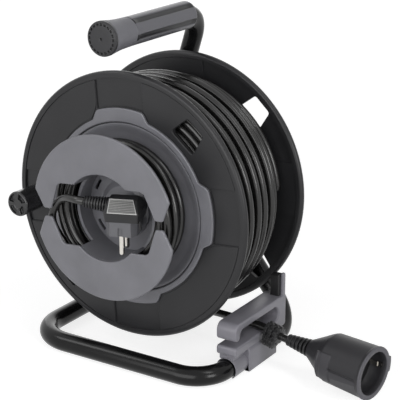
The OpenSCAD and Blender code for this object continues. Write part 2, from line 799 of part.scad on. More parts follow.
module spool_core() {
    floor_back = cup_floor - 3;
    color("#3a3b40") at_drum() difference() {
        union() {
            difference() {
                disc_at(recess_front, side_rim, core_r);
                disc_at(recess_front - overlap, side_rim + overlap, core_in_r);
            }
            translate([0, 0, side_rim - 0.1]) linear_extrude(disc_back - side_rim + 0.1) around(2, 90, 0)
                intersection() {
                    difference() {
                        circle(r = core_r);
                        circle(r = core_in_r);
                    }
                    wedge(44, opening_d);
                }
            disc_at(floor_back, cup_floor, core_in_r + overlap);
            disc_at(cup_floor - lip_t - bush_l, cup_floor, hub_r);
            around(4, 0, spool_screw_r) disc_at(recess_front, cup_floor - 1, screw_r + 2.5);
        }
        disc_at(cup_floor - lip_t - bush_l - overlap, cup_floor - lip_t, bush_r + fit_gap);
        disc_at(recess_back, cup_floor + overlap, lip_r);
        around(4, 0, spool_screw_r)
            disc_at(recess_front - overlap, recess_front + screw_bite + overlap, screw_r + fit_gap);
        for (a = [33, 147, 213, 327])
            translate([0, 0, floor_back - overlap]) linear_extrude(3 + 2 * overlap) rotate([0, 0, a])
                intersection() {
                    difference() {
                        circle(r = core_in_r - 3);
                        circle(r = core_in_r - 6);
                    }
                    wedge(9, opening_d);
                }
    }
}

module spool_screws() {
    color("#8d8e93") at_drum() around(4, 0, spool_screw_r) {
        disc_at(recess_back - screw_head_t, recess_back, screw_head_r);
        disc_at(recess_back - 0.5, recess_front + screw_bite, screw_r);
    }
}

module hub_cap() {
    color("#4a4b50") at_drum() spun([
        [hub_cap_r - 1.5, cup_floor], [hub_cap_r, cup_floor], [hub_cap_r, cup_floor + 2],
        [hub_cap_r - 5, cap_front], [0, cap_front], [0, cap_front - 1.2], [hub_cap_r - 6, cap_front - 1.2],
        [hub_cap_r - 1.5, cup_floor + 1.6]]);
}

module disc_half() { // the upper half; the slits lie along x
    translate([0, 0, disc_back]) linear_extrude(disc_t) difference() {
        intersection() {
            circle(r = disc_r, $fn = 96);
            translate([-disc_r, slit_w / 2]) square([disc_d, disc_r]);
        }
        circle(r = core_in_r);
        for (s = [-1, 1]) {
            polygon([for (p = concat([[0, cutout[0][1]]], cutout, [[0, slit_w / 2 - overlap]]))
                [s * p[0], p[1]]]);
            polygon([for (p = [[neck_x[1], slit_w / 2], [notch_x, 21.5], [disc_d, 21.5],
                [disc_d, 0], [neck_x[1], 0]])
                [s * p[0], p[1]]]);
        }
    }
}

module disc_upper() { color("#8a8b92") at_drum() disc_half(); }
module disc_lower() { color("#8a8b92") at_drum() rotate([0, 0, 180]) disc_half(); }

// A block on the dish that anchors the inner end of the stowed lead
module lead_gland() {
    block_l = 12;
    block_w = cord_d + 3;
    dir = lead_start_dir;
    face = lead_path[0];
    color("#2e2f33") at_drum() place(face, cross(dir, [0, 0, 1]), [0, 0, 1], dir)
        translate([-block_w / 2, dish_inner_front - face[2] - 1.5, -block_l])
            cube([block_w, face[2] - dish_inner_front + 1.7 + cord_d / 2, block_l]);
}

module lead_coil() {
    color("#1c1c1e") at_drum() swept(lead_path, [for (p = lead_path) outward(p)], cord_d / 2, coil_sides);
}

module lead_cord() {
    route = concat([lead_path[len(lead_path) - 1]], lead_line);
    color("#1c1c1e") at_drum() swept(route, same([0, 0, 1], len(route)), cord_d / 2, 10);
}

// ---------- plug ----------
// The plug's own frame: z away from the pins, x away from its cord; it hangs on the lead's end
module at_plug() {
    at_drum() translate(plug_at) rotate([0, 0, -drum_turn]) rotate([-90, 0, 0]) rotate([0, 0, plug_twist])
        translate([plug_flat + 1 + relief_l * cos(relief_tilt), 0,
            -relief_height - relief_l * sin(relief_tilt)])
            children();
}

module at_relief() {
    at_plug() translate([-plug_flat - 1, 0, relief_height]) rotate([0, relief_tilt - 90, 0]) children();
}

module plug_outline(grow) {
    flat = plug_flat + grow;
    half = plug_half + grow;
    side = half - 7;
    polygon([[flat, -side], [flat, side], [9.5, half], [-9.5, half],
        [-flat, side], [-flat, -side], [-9.5, -half], [9.5, -half]]);
}

module plug_body() {
    half = plug_half + 3;
    peak = 7;
    color("#2b2b2e") at_plug() difference() {
        union() {
            intersection() {
                rotate([90, 0, 90]) linear_extrude(3 * plug_flat, center = true) polygon([
                    [-plug_half, plug_insert_h], [-half, plug_ridge_h], [-peak, plug_top], [peak, plug_top],
                    [half, plug_ridge_h], [plug_half, plug_insert_h]]);
                rotate([90, 0, 0]) linear_extrude(3 * plug_half, center = true) polygon([
                    [-plug_flat, plug_insert_h], [-plug_flat - 1, plug_ridge_h], [-plug_flat + 2, plug_top],
                    [plug_flat - 3, plug_top], [plug_flat + 1, plug_ridge_h], [plug_flat, plug_insert_h]]);
                linear_extrude(plug_top + overlap) plug_outline(3);
            }
            translate([-plug_flat - 1, 0, relief_height]) rotate([0, relief_tilt - 90, 0])
                translate([0, 0, -7]) cylinder(h = 7, r = 5.9);
        }
        translate([0, 0, plug_insert_h - overlap]) linear_extrude(overlap + 2) plug_outline(-1.5);
    }
}

module plug_insert() {
    color("#5f6066") at_plug() difference() {
        union() {
            linear_extrude(plug_insert_h) plug_outline(0);
            translate([0, 0, plug_insert_h - 0.01]) linear_extrude(2) plug_outline(-1.55);
        }
        for (s = [-1, 1]) {
            translate([0, s * contact_step / 2, -overlap])
                cylinder(h = plug_insert_h + overlap - 2, r = plug_pin_d / 2);
            translate([s * plug_flat - 1.4, -3.2, -overlap]) cube([2.8, 6.4, plug_insert_h - 2 + overlap]);
            translate([-2.2, s * plug_half - 1.6, -overlap]) cube([4.4, 3.2, 8 + overlap]);
        }
    }
}

module plug_pins() {
    color("#c9b58c") at_plug() for (s = [-1, 1]) translate([0, s * contact_step / 2, 0]) {
        translate([0, 0, -plug_pin_l + plug_pin_d / 2]) sphere(r = plug_pin_d / 2);
        translate([0, 0, -plug_pin_l + plug_pin_d / 2])
            cylinder(h = plug_pin_l - plug_pin_d / 2 + plug_insert_h - 4, r = plug_pin_d / 2);
    }
}

module plug_earth() {
    color("#c9b58c") at_plug() for (s = [-1, 1])
        translate([s * (plug_flat - 0.9) - 0.5, -2.6, 2]) cube([1, 5.2, plug_insert_h - 4]);
}

module plug_relief() {
    ribs = 8;
    step = relief_l / ribs;
    color("#2b2b2e") at_relief() {
        cylinder(h = relief_l, r = 4.6);
        for (i = [0:ribs - 1]) translate([0, 0, i * step]) cylinder(h = step * 0.55, r = 6.3 - 0.12 * i);
    }
}

// ---------- crank ----------
module at_crank() { at_drum() rotate([0, 0, 180]) translate([crank_r, 0, 0]) children(); }

module knob_pin() {
    pin_top = knob_back + knob_l - knob_socket + safe_gap;
    color("#b9b9bd") at_crank() {
        disc_at(web_back - sector_step - 2.5, web_back - sector_step, pin_r + 3);
        disc_at(web_back - sector_step - 1, pin_top + 0.5, pin_r);
        disc_at(pin_top, pin_top + pin_head_t, pin_head_r);
    }
}

module crank_knob() {
    top = knob_back + knob_l;
    color("#1a1a1c") at_crank() difference() {
        rotate_extrude() union() {
            translate([0, knob_back]) square([knob_r, knob_l - 3]);
            polygon([[0, top - 3.01], [knob_r, top - 3.01], [knob_r - 0.8, top - 1],
                [knob_r - 2.4, top], [0, top]]);
        }
        disc_at(knob_back - overlap, top, pin_r + run_gap);
        disc_at(top - knob_socket, top + overlap, pin_head_r + 1);
        around(4, 45, knob_r - 3.4) disc_at(top - 3, top + overlap, 1.7);
    }
}

// A star insert that closes the knob's end
module knob_core() {
    top = knob_back + knob_l;
    color("#101011") at_crank() difference() {
        disc_at(top - 2.2, top - 0.6, pin_head_r + 1 - fit_gap);
        around(4, 45, pin_head_r) disc_at(top - 3, top + overlap, 1.6);
    }
}

// ---------- tail and coupling ----------
module cord_tail() {
    color("#1c1c1e") swept(tail_route, same([0, 0, 1], len(tail_route)), cord_d / 2, 10);
}

module cord_clip() {
    body_r = cord_d / 2 + 3;
    flange = [3, 17, 17];
    side = unit(cross([0, 0, 1], clip_dir));
    color("#141415") place(clip_at, clip_dir, side, cross(clip_dir, side)) difference() {
        union() {
            rotate([0, 90, 0]) translate([0, 0, -clip_l / 2]) cylinder(h = clip_l, r = body_r);
            for (x = [-clip_l / 2, 0, clip_l / 2 - flange[0]])
                translate([x, -flange[1] / 2, -3]) cube([flange[0], flange[1], 6]);
            for (x = [-clip_l / 2, 0, clip_l / 2 - flange[0]])
                translate([x, -3, -flange[2] / 2]) cube([flange[0], 6, flange[2]]);
        }
        rotate([0, 90, 0]) translate([0, 0, -clip_l]) cylinder(h = 2 * clip_l, r = cord_d / 2);
    }
}

// The coupling's own frame: z runs from the cord to the mouth
module at_coupling() {
    translate(coupling_at) rotate([0, 0, coupling_turn]) rotate([0, 90 + coupling_tilt, 0]) children();
}
mouth_z = coupling_relief_l + coupling_l;
side_groove = [1.6, 1.5, coupling_l - 17]; // width, depth and length
neck_r = 8.5;
shoulder_z = coupling_relief_l + 22;
shoulder_r = mouth_d / 2 - 2.5;
insert_l = 20;
insert_r = well_d / 2 - fit_gap;
earth_seat = 8;

module coupling_body() {
    color("#46474c") at_coupling() difference() {
        union() {
            spun([[0, coupling_relief_l], [neck_r, coupling_relief_l], [shoulder_r, shoulder_z],
                [mouth_d / 2 - 0.6, mouth_z - 3], [mouth_d / 2, mouth_z - 2.4],
                [mouth_d / 2, mouth_z], [0, mouth_z]]);
            translate([-4, 0, mouth_z - 14]) cube([8, mouth_d / 2 + 3.5, 10]);
        }
        disc_at(mouth_z - well_depth - insert_l, mouth_z + overlap, well_d / 2);
        for (s = [-1, 1])
            translate([6, s * (shoulder_r - side_groove[1] + mouth_d / 2),
                coupling_relief_l - 1 + side_groove[2] / 2])
                cube([side_groove[0], mouth_d, side_groove[2]], center = true);
    }
}

module coupling_relief() {
    ribs = 6;
    step = coupling_relief_l / ribs;
    color("#2b2b2e") at_coupling() {
        cylinder(h = coupling_relief_l, r = 4.5);
        for (i = [0:ribs - 1])
            translate([0, 0, i * step + step * 0.45]) cylinder(h = step * 0.55, r = 5.6 + 0.3 * i);
    }
}

module coupling_insert() {
    back = mouth_z - well_depth - insert_l;
    front = mouth_z - well_depth;
    sleeve_r = contact_hole_d / 2 + 1;
    color("#1f1f22") at_coupling() difference() {
        disc_at(back, front, insert_r);
        for (s = [-1, 1]) {
            translate([s * contact_step / 2, 0, 0])
                disc_at(back - overlap, front + overlap, contact_hole_d / 2);
            translate([s * contact_step / 2, 0, 0]) disc_at(back - overlap, front - 4, sleeve_r + fit_gap);
            translate([-2.5, s * (insert_r - 1) - 1.5, front - earth_seat])
                cube([5, 3, earth_seat + overlap]);
        }
    }
}

module coupling_contacts() {
    back = mouth_z - well_depth - insert_l;
    top = mouth_z - well_depth - 4;
    color("#c9b58c") at_coupling() for (s = [-1, 1]) translate([s * contact_step / 2, 0, 0]) difference() {
        disc_at(back + 2, top, contact_hole_d / 2 + 1);
        disc_at(back, top + overlap, contact_hole_d / 2);
    }
}

module coupling_earth() {
    front = mouth_z - well_depth;
    color("#c9b58c") at_coupling() for (s = [-1, 1]) {
        translate([-2.2, s * (insert_r - 1.2) - 0.5, front - earth_seat])
            cube([4.4, 1, earth_seat + well_depth - 4]);
        translate([-2.2, s * (insert_r - 2) - 0.7, front + 5]) cube([4.4, 1.4, 4]);
    }
}

frame_tube();
axle_saddle();
axle_bolt();
axle();
rear_washer();
front_washer();
axle_clip();
grip_sleeve();
grip_collar();
grip_cap();
cable_guide();
guide_post();
rear_flange();
front_flange();
drum_barrel();
drum_screws();
rear_bush();
front_bush();
cord_core();
cord_winding();
ring_plate();
spool_dish();
spool_core();
spool_screws();
hub_cap();
disc_upper();
disc_lower();
lead_gland();
lead_coil();
lead_cord();
plug_body();
plug_insert();
plug_pins();
plug_earth();
plug_relief();
knob_pin();
crank_knob();
knob_core();
cord_tail();
cord_clip();
coupling_body();
coupling_relief();
coupling_insert();
coupling_contacts();
coupling_earth();
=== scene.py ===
"""Extension cord reel: the looks of its stand, drum, cords, plug, coupling and cable guide.

Lengths are in millimetres and become metres where a mesh is made. The drum has a frame of its own:
x to the right, y up and f forward along its axis, as seen from the front.
"""

import json
import math

import bmesh
import bpy
import numpy as np
from mathutils import Matrix

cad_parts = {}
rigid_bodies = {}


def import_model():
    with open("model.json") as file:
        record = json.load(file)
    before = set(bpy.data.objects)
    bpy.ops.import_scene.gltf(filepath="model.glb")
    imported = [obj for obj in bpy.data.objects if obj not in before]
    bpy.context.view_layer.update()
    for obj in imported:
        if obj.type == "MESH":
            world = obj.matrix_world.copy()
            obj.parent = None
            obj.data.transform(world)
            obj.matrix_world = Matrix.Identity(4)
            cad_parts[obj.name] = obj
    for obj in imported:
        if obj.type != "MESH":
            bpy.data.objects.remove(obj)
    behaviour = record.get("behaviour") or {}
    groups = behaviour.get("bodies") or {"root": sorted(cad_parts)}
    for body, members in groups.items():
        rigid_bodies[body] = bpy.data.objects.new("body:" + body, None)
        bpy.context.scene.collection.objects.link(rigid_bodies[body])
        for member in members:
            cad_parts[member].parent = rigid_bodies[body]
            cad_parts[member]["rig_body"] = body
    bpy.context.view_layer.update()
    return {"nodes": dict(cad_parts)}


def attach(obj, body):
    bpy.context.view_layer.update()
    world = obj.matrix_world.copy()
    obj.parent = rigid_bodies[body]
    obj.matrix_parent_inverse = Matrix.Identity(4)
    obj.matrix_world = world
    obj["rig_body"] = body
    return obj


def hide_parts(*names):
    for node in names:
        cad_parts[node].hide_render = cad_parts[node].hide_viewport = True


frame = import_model()
MM = 0.001
TURN = math.radians(4.5)
AXLE_Z, DRUM_Y = 143.0, 6.0


# ---------- places ----------
def spread(*values):
    """The values as arrays of one shape, stacked as the last axis."""
    return np.stack(np.broadcast_arrays(*[np.asarray(v, float) for v in values]), -1)


def polar(radius, angle, height):
    """Points of radius times the cosine of an angle, radius times its sine, and a height."""
    return spread(radius * np.cos(angle), radius * np.sin(angle), height)


def circle(count, start=0.0):
    """Angles all round, evenly spaced, as one row."""
    return np.linspace(start, start + 2 * math.pi, count, endpoint=False)[None, :]


def on_drum(points):
    """Drum frame to the row frame: turned by the drum's own turn about its axis, f runs towards the front."""
    x, y, f = points[..., 0], points[..., 1], points[..., 2]
    c, s = math.cos(TURN), math.sin(TURN)
    return spread(x * c - y * s, DRUM_Y - f, AXLE_Z + x * s + y * c)


def placed(origin, x, y, z):
    """A function that moves points of a frame out of it: the origin plus each coordinate along its axis."""
    axes = np.array([x, y, z], float)

    def place(points):
        return np.asarray(points, float) @ axes + np.array(origin, float)

    return place


def turned(axis, degrees):
    """The three rows of a rotation about one of the main axes: where x, y and z go."""
    a = math.radians(degrees)
    i, j = [(1, 2), (2, 0), (0, 1)][axis]
    rows = np.eye(3)
    rows[i, i], rows[i, j] = math.cos(a), math.sin(a)
    rows[j, i], rows[j, j] = -math.sin(a), math.cos(a)
    return rows


# ---------- camera ----------
camera_data = bpy.data.cameras.new("camera")
camera_data.lens = 121.5
camera_data.sensor_width = 36
camera = bpy.data.objects.new("camera", camera_data)
camera.location = (0.6788, -0.9870, 0.5382)
camera.rotation_euler = (math.radians(71.44), 0, math.radians(32.6))
bpy.context.scene.collection.objects.link(camera)
bpy.context.scene.camera = camera


# ---------- meshes ----------
def grid_faces(rows, cols, wrap_rows=False, wrap_cols=False):
    """Corner numbers of the quads between neighbouring rows and columns of a grid."""
    i = np.arange(rows if wrap_rows else rows - 1)[:, None]
    j = np.arange(cols if wrap_cols else cols - 1)[None, :]
    down, right = (i + 1) % rows, (j + 1) % cols
    corners = spread(i * cols + j, i * cols + right, down * cols + right, down * cols + j)
    return corners.astype(int).reshape(-1, 4)


def piece(name, points, faces, finish, body, nodes=(), slot=None, outwards=True):
    """A mesh piece from points in millimetres. It rides on a body and may stand for CAD nodes.

    Where outwards is true, doubles are merged and the faces turned outwards.
    """
    mesh = bpy.data.meshes.new(name)
    mesh.from_pydata((np.asarray(points) * MM).tolist(), [], [list(f) for f in faces])
    if outwards:
        work = bmesh.new()
        work.from_mesh(mesh)
        bmesh.ops.remove_doubles(work, verts=work.verts, dist=1e-6)
        bmesh.ops.recalc_face_normals(work, faces=work.faces)
        work.to_mesh(mesh)
        work.free()
    mesh.shade_smooth()
    mesh.materials.append(finish)
    obj = bpy.data.objects.new(name, mesh)
    bpy.context.scene.collection.objects.link(obj)
    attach(obj, body)
    if nodes:
        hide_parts(*nodes)
    return obj


def surface(name, points, finish, body, wrap=(False, True), capped=False, **rest):
    """A grid of points as one surface. capped closes its first and last rows with fans of triangles."""
    rows, cols = points.shape[:2]
    flat = points.reshape(-1, 3)
    faces = grid_faces(rows, cols, *wrap).tolist()
    if capped:
        flat = np.vstack([flat, points[0].mean(0), points[-1].mean(0)])
        ring = np.arange(cols)
        for first, centre in ((0, rows * cols), ((rows - 1) * cols, rows * cols + 1)):
            faces += spread(first + ring, first + (ring + 1) % cols, centre).astype(int).tolist()
    return piece(name, flat, faces, finish, body, **rest)


def unit(v):
    """A vector, or each of many, divided by its length."""
    v = np.asarray(v, float)
    return v / np.linalg.norm(v, axis=-1, keepdims=True)


def smooth_line(points, steps):
    """A Catmull-Rom curve: cubics between the points. Their slope at each is half its neighbours' chord.

    Each stretch has this many steps.
    """
    p = np.asarray(points, float)
    p = np.vstack([2 * p[0] - p[1], p, 2 * p[-1] - p[-2]])
    t = np.linspace(0, 1, steps, endpoint=False)[None, :, None]
    a, b, c, d = (p[k : len(p) - 3 + k, None] for k in range(4))
    curve = 0.5 * (2 * b + (c - a) * t + (2 * a - 5 * b + 4 * c - d) * t**2 + (3 * b - a - 3 * c + d) * t**3)
    return np.vstack([curve.reshape(-1, p.shape[1]), p[-2]])


def tube_points(path, radius, sides, across):
    """Rings about a path: the middle plus radius times cosine on one side and sine on the other.

    The one side is the cross product of the path's direction with across, the other stands square to both.
    """
    along = unit(np.gradient(path, axis=0))
    side = unit(np.cross(along, across))
    lift = np.cross(side, along)
    turn = np.linspace(0, 2 * math.pi, sides, endpoint=False)
    cosine, sine = np.cos(turn)[None, :, None], np.sin(turn)[None, :, None]
    return path[:, None] + radius * (cosine * side[:, None] + sine * lift[:, None])


def rounded(corners, radii, degrees=5.0):
    """A path through corners, each inner one replaced by the arc of its radius that both its sides touch."""
    line = [corners[0]]
    for before, corner, after, r in zip(corners, corners[1:], corners[2:], radii):
        u, v = unit(before - corner), unit(after - corner)
        half = math.acos(float(u @ v)) / 2
        middle = corner + unit(u + v) * r / math.sin(half)
        start = unit(corner + u * r / math.tan(half) - middle)
        sweep = math.pi - 2 * half
        t = np.linspace(0, sweep, max(3, round(math.degrees(sweep) / degrees)))[:, None]
        line.append(middle + r * (start * np.cos(t) - u * np.sin(t)))
    line.append(corners[-1])
    return np.vstack(line)


def softened(profile, radius, steps):
    """A polygon whose corners are rounded, each by the quadratic curve between two points on its sides.

    They lie at radius from the corner, or at 0.45 of its shorter side if that is less.
    """
    p = np.asarray(profile, float)
    a, b = np.roll(p, 1, 0) - p, np.roll(p, -1, 0) - p
    la, lb = np.linalg.norm(a, axis=1), np.linalg.norm(b, axis=1)
    cut = np.minimum(radius, 0.45 * np.minimum(la, lb))[:, None]
    a, b = p + a / la[:, None] * cut, p + b / lb[:, None] * cut
    t = np.linspace(0, 1, steps + 1)[None, :, None]
    curve = a[:, None] * (1 - t) ** 2 + 2 * p[:, None] * t * (1 - t) + b[:, None] * t**2
    return curve.reshape(-1, p.shape[1])


def lathe_points(profile, place, sides=128):
    """A profile of radius and height turned about the height axis of a frame."""
    return place(polar(profile[:, :1], circle(sides), profile[:, 1:2]))


def ease(t):
    """The cubic step from 0 to 1: three times the square of t, less twice its cube."""
    t = np.clip(t, 0, 1)
    return t * t * (3 - 2 * t)


def ray_reach(outline, centre, angles):
    """How far a closed outline lies from the centre in each direction: the ray's furthest edge crossing."""
    p = np.asarray(outline, float) - centre
    edge = np.roll(p, -1, 0) - p
    d = spread(np.cos(angles), np.sin(angles))[:, None]
    across = d[..., 0] * edge[:, 1] - d[..., 1] * edge[:, 0]
    across = np.where(np.abs(across) < 1e-9, 1e-9, across)
    t = (p[:, 0] * edge[:, 1] - p[:, 1] * edge[:, 0]) / across
    along = (p[:, 0] * d[..., 1] - p[:, 1] * d[..., 0]) / across
    return np.where((along > -1e-6) & (along < 1 + 1e-6) & (t > 0), t, 0).max(1)


def plate(name, outline, centre, levels, place, finish, body, edge, hole=None, **rest):
    """A flat plate between two levels with rounded upper edges.

    Its loops run up the outline, over the top, and down its hole or in to the centre. Each loop keeps one
    distance, along rays from the centre, from the outline or the hole.
    """
    centre = np.array(centre, float)
    corners = [np.asarray(o, float) - centre for o in (outline, hole) if o is not None]
    angles = [np.arctan2(c[:, 1], c[:, 0]) for c in corners] + [np.linspace(-math.pi, math.pi, 240, False)]
    angles = np.unique(np.round(np.concatenate(angles), 5))
    ray = spread(np.cos(angles), np.sin(angles))
    outer = ray_reach(outline, centre, angles)
    inner = outer * 0.02 if hole is None else ray_reach(hole, centre, angles)
    bottom, top = levels
    rim = [(1.6 * edge, top), (edge, top), (0.3 * edge, top - 0.3 * edge), (0, top - edge), (0, bottom)]
    rows = [(outer - back, h) for back, h in rim[::-1]]
    rows += [(inner, top)] if hole is None else [(inner + back, h) for back, h in rim]
    points = np.stack([spread(*(centre + ray * r[:, None]).T, h) for r, h in rows])
    surface(name, place(points), finish, body, wrap=(hole is not None, True), capped=hole is None, **rest)


EDGE_STEPS, EDGE_FROM = 3, math.radians(28)


def eased(node, width, finish, **rest):
    """A CAD solid's own shape with rounded edges: a copy, merged and its flat faces joined, then bevelled."""
    work = bmesh.new()
    work.from_mesh(frame["nodes"][node].data)
    bmesh.ops.remove_doubles(work, verts=work.verts, dist=2e-6)
    bmesh.ops.dissolve_limit(work, angle_limit=math.radians(0.5), verts=work.verts, edges=work.edges)
    bmesh.ops.recalc_face_normals(work, faces=work.faces)
    work.verts.index_update()
    points = np.array([v.co for v in work.verts]) / MM
    faces = [[v.index for v in f.verts] for f in work.faces]
    work.free()
    body = frame["nodes"][node]["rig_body"]
    obj = piece(node + "_form", points, faces, finish, body, nodes=[node], outwards=False, **rest)
    bevel = obj.modifiers.new("edges", "BEVEL")
    bevel.width = width * MM
    bevel.segments = EDGE_STEPS
    bevel.limit_method = "ANGLE"
    bevel.angle_limit = EDGE_FROM
    bevel.harden_normals = True


def closed_loop(corners, radii):
    """A closed outline whose corners are arcs of these radii, run anticlockwise."""
    c = np.asarray(corners, float)
    middle = (c[0] + c[-1]) / 2
    loop = rounded([middle, *c, middle], radii, 9.0)[:-1]
    after = np.roll(loop, -1, 0)
    area = (loop[:, 0] * after[:, 1] - loop[:, 1] * after[:, 0]).sum()
    return loop if area > 0 else loop[::-1]


def inset(loop, amount):
    """The outline moved inwards: each point goes along the bisector of its edges, to amount from both."""
    into, out = unit(loop - np.roll(loop, 1, 0)), unit(np.roll(loop, -1, 0) - loop)
    a, b = spread(-into[:, 1], into[:, 0]), spread(-out[:, 1], out[:, 0])
    return loop + amount * (a + b) / (1 + (a * b).sum(1, keepdims=True))


def slab(name, loop, levels, place, finish, body, edge, **rest):
    """An outline carried from one level to the other, with quarter-round edges and each face one polygon."""
    turn = np.linspace(0, math.pi / 2, 5)
    rows = [(1.4 * edge, 0)] + [(edge * (1 - math.sin(t)), edge * (1 - math.cos(t))) for t in turn]
    rings = [spread(*inset(loop, amount).T, levels[0] + h) for amount, h in rows]
    rings += [spread(*inset(loop, amount).T, levels[1] - h) for amount, h in rows[::-1]]
    count = len(loop)
    faces = grid_faces(len(rings), count, False, True).tolist()
    faces += [list(range(count)), list(range((len(rings) - 1) * count, len(rings) * count))]
    piece(name, place(np.stack(rings)).reshape(-1, 3), faces, finish, body, **rest)


def ribbed(name, place, length, ends, ribs, core, finish, body, **rest):
    """A strain relief: a core with rounded ribs whose radius runs evenly from one end to the other."""
    z = np.linspace(0, length, ribs * 20 + 1)
    wave = ease((np.cos(z / length * ribs * 2 * math.pi) + 0.45) / 0.8)
    r = core + (ends[0] + (ends[1] - ends[0]) * z / length - core) * wave
    surface(name, lathe_points(spread(r, z), place, 64), finish, body, capped=True, **rest)


def band(value, low, high, soft):
    """1 between two limits and 0 outside them, with eased steps of this width."""
    return ease((value - low) / soft + 0.5) * ease((high - value) / soft + 0.5)


def paint(obj, tone):
    """A number for each point of a piece, which its finish reads as its share of the second tone."""
    mesh = obj.data
    where = np.empty(3 * len(mesh.vertices))
    mesh.vertices.foreach_get("co", where)
    values = tone(where.reshape(-1, 3) / MM)
    mesh.attributes.new("tone", "FLOAT", "POINT").data.foreach_set("value", values)


# ---------- finishes ----------
class Wire:
    """One output in a tree. Sums, differences and products of wires and numbers add Math nodes."""

    def __init__(self, tree, socket):
        self.tree, self.socket = tree, socket

    def maths(self, operation, *values):
        return add(self.tree, "Math", {"operation": operation}, dict(enumerate(values)))

    def __add__(self, other):
        return self.maths("ADD", self, other)

    def __sub__(self, other):
        return self.maths("SUBTRACT", self, other)

    def __rsub__(self, other):
        return self.maths("SUBTRACT", other, self)

    def __mul__(self, other):
        return self.maths("MULTIPLY", self, other)

    __radd__, __rmul__ = __add__, __mul__


def plug_in(tree, socket, value):
    """Link a wire to a socket, or set the socket to a plain value."""
    if isinstance(value, Wire):
        tree.links.new(value.socket, socket)
    else:
        socket.default_value = value


def add(tree, kind, settings=None, sockets=None, output=0):
    """A node of any kind: first its settings, then wires or values in its sockets. It gives one output."""
    node = tree.nodes.new("ShaderNode" + kind)
    for key, value in (settings or {}).items():
        setattr(node, key, value)
    for key, value in (sockets or {}).items():
        plug_in(tree, node.inputs[key], value)
    return Wire(tree, node.outputs[output])


COLOUR_A, COLOUR_B, COLOUR_OUT = 6, 7, 2  # a Mix node's sockets for colours
GRAIN_DEPTH, CLOUD = 0.08, 34  # millimetres
finishes = {}


class Finish:
    """A material being made from Blender's own shader."""

    def __init__(self, name, **shader):
        self.material = bpy.data.materials.new(name)
        self.material.use_nodes = True
        self.tree = self.material.node_tree
        self.shader = self.tree.nodes["Principled BSDF"]
        self.feed(**shader)

    def feed(self, **values):
        """Wires or values for the shader's sockets."""
        for key, value in values.items():
            plug_in(self.tree, self.shader.inputs[key.replace("_", " ")], value)

    def noise(self, size, detail):
        """Cloudy noise whose patches are about size millimetres."""
        where = add(self.tree, "TexCoord", output="Object")
        sockets = {"Vector": where, "Scale": 1 / (size * MM), "Detail": detail}
        return add(self.tree, "TexNoise", sockets=sockets, output="Fac")

    def between(self, low, high, dark, light, value):
        """A colour that goes from dark to light as value goes from low to high."""
        share = add(self.tree, "MapRange", sockets={"Value": value, "From Min": low, "From Max": high})
        sockets = {"Factor": share, COLOUR_A: dark, COLOUR_B: light}
        return add(self.tree, "Mix", {"data_type": "RGBA"}, sockets, COLOUR_OUT)

    def bump(self, height, strength):
        """Grain on the surface: height times strength, over the grain's depth."""
        sockets = {"Height": height, "Strength": strength, "Distance": GRAIN_DEPTH * MM}
        self.feed(Normal=add(self.tree, "Bump", sockets=sockets))


def shade(level, tint, scale=1.0):
    """A display grey of 0 to 255 with a tint, as the linear colour that a shader takes."""
    v = np.clip(np.array(tint, float) * level * scale / 255, 0, 1)
    linear = np.where(v <= 0.04045, v / 12.92, ((v + 0.055) / 1.055) ** 2.4)
    return (*linear.tolist(), 1.0)


def moulded(name, level, tint, roughness, grain, strength, drift=0.05, vary=0.12, **shader):
    """Moulded plastic, rubber or metal, kept in finishes.

    Its level drifts up and down by this share in wide clouds. Its bumps have this grain in millimetres and
    this strength. Its roughness follows both, the grain by vary.
    """
    f = Finish(name, **shader)
    cloud, fine = f.noise(CLOUD, 3), f.noise(grain, 2)
    low, high = shade(level, tint, 1 - drift), shade(level, tint, 1 + drift)
    f.feed(Base_Color=f.between(0.3, 0.7, low, high, cloud))
    f.feed(Roughness=roughness + (cloud - 0.5) * 0.10 + (fine - 0.5) * vary)
    f.bump(fine, strength)
    finishes[name] = f.material


def two_tone_and_painted_light(name, level, other, tint, roughness, **shader):
    """Moulded plastic, kept in finishes, whose points carry their share of a second tone: the thing's own
    colour on the grip's sleeve and cap, painted light on the coupling and the plug's panel.
    """
    f = Finish(name, **shader)
    share = add(f.tree, "Attribute", {"attribute_name": "tone"}, output="Fac")
    cloud, fine = f.noise(CLOUD, 3), f.noise(0.6, 2)
    f.feed(Base_Color=f.between(0, 1, shade(level, tint), shade(other, tint), share + (cloud - 0.5) * 0.1))
    f.feed(Roughness=roughness + (cloud - 0.5) * 0.1 + (fine - 0.5) * 0.1)
    f.bump(fine, 0.08)
    finishes[name] = f.material


COOL, VIOLET, RUBBER = (0.985, 0.985, 1.03), (0.985, 0.975, 1.03), (1, 0.985, 0.965)
moulded("tube_black", 14, COOL, 0.2, 2.2, 0.02, 0.1, Specular_IOR_Level=0.22)
moulded("drum_dark", 36, COOL, 0.34, 0.6, 0.1, Specular_IOR_Level=0.3)
moulded("spool_grey", 110, COOL, 0.31, 0.5, 0.1, Specular_IOR_Level=0.4)
moulded("guide_grey", 124, VIOLET, 0.34, 0.5, 0.1, Specular_IOR_Level=0.35)
moulded("grip_grey", 112, COOL, 0.46, 0.5, 0.08, Specular_IOR_Level=0.2)
two_tone_and_painted_light("sleeve_grey", 104, 42, COOL, 0.34, Specular_IOR_Level=0.2)
two_tone_and_painted_light("cap_dark", 46, 6, COOL, 0.36, Specular_IOR_Level=0.3)
moulded("soft_black", 30, COOL, 0.42, 0.5, 0.15, Specular_IOR_Level=0.4)
# The coupling's second, lighter tone is painted sheen on its lip, grip block and flat side.
two_tone_and_painted_light("coupling_black", 45, 122, VIOLET, 0.44, Specular_IOR_Level=0.2)
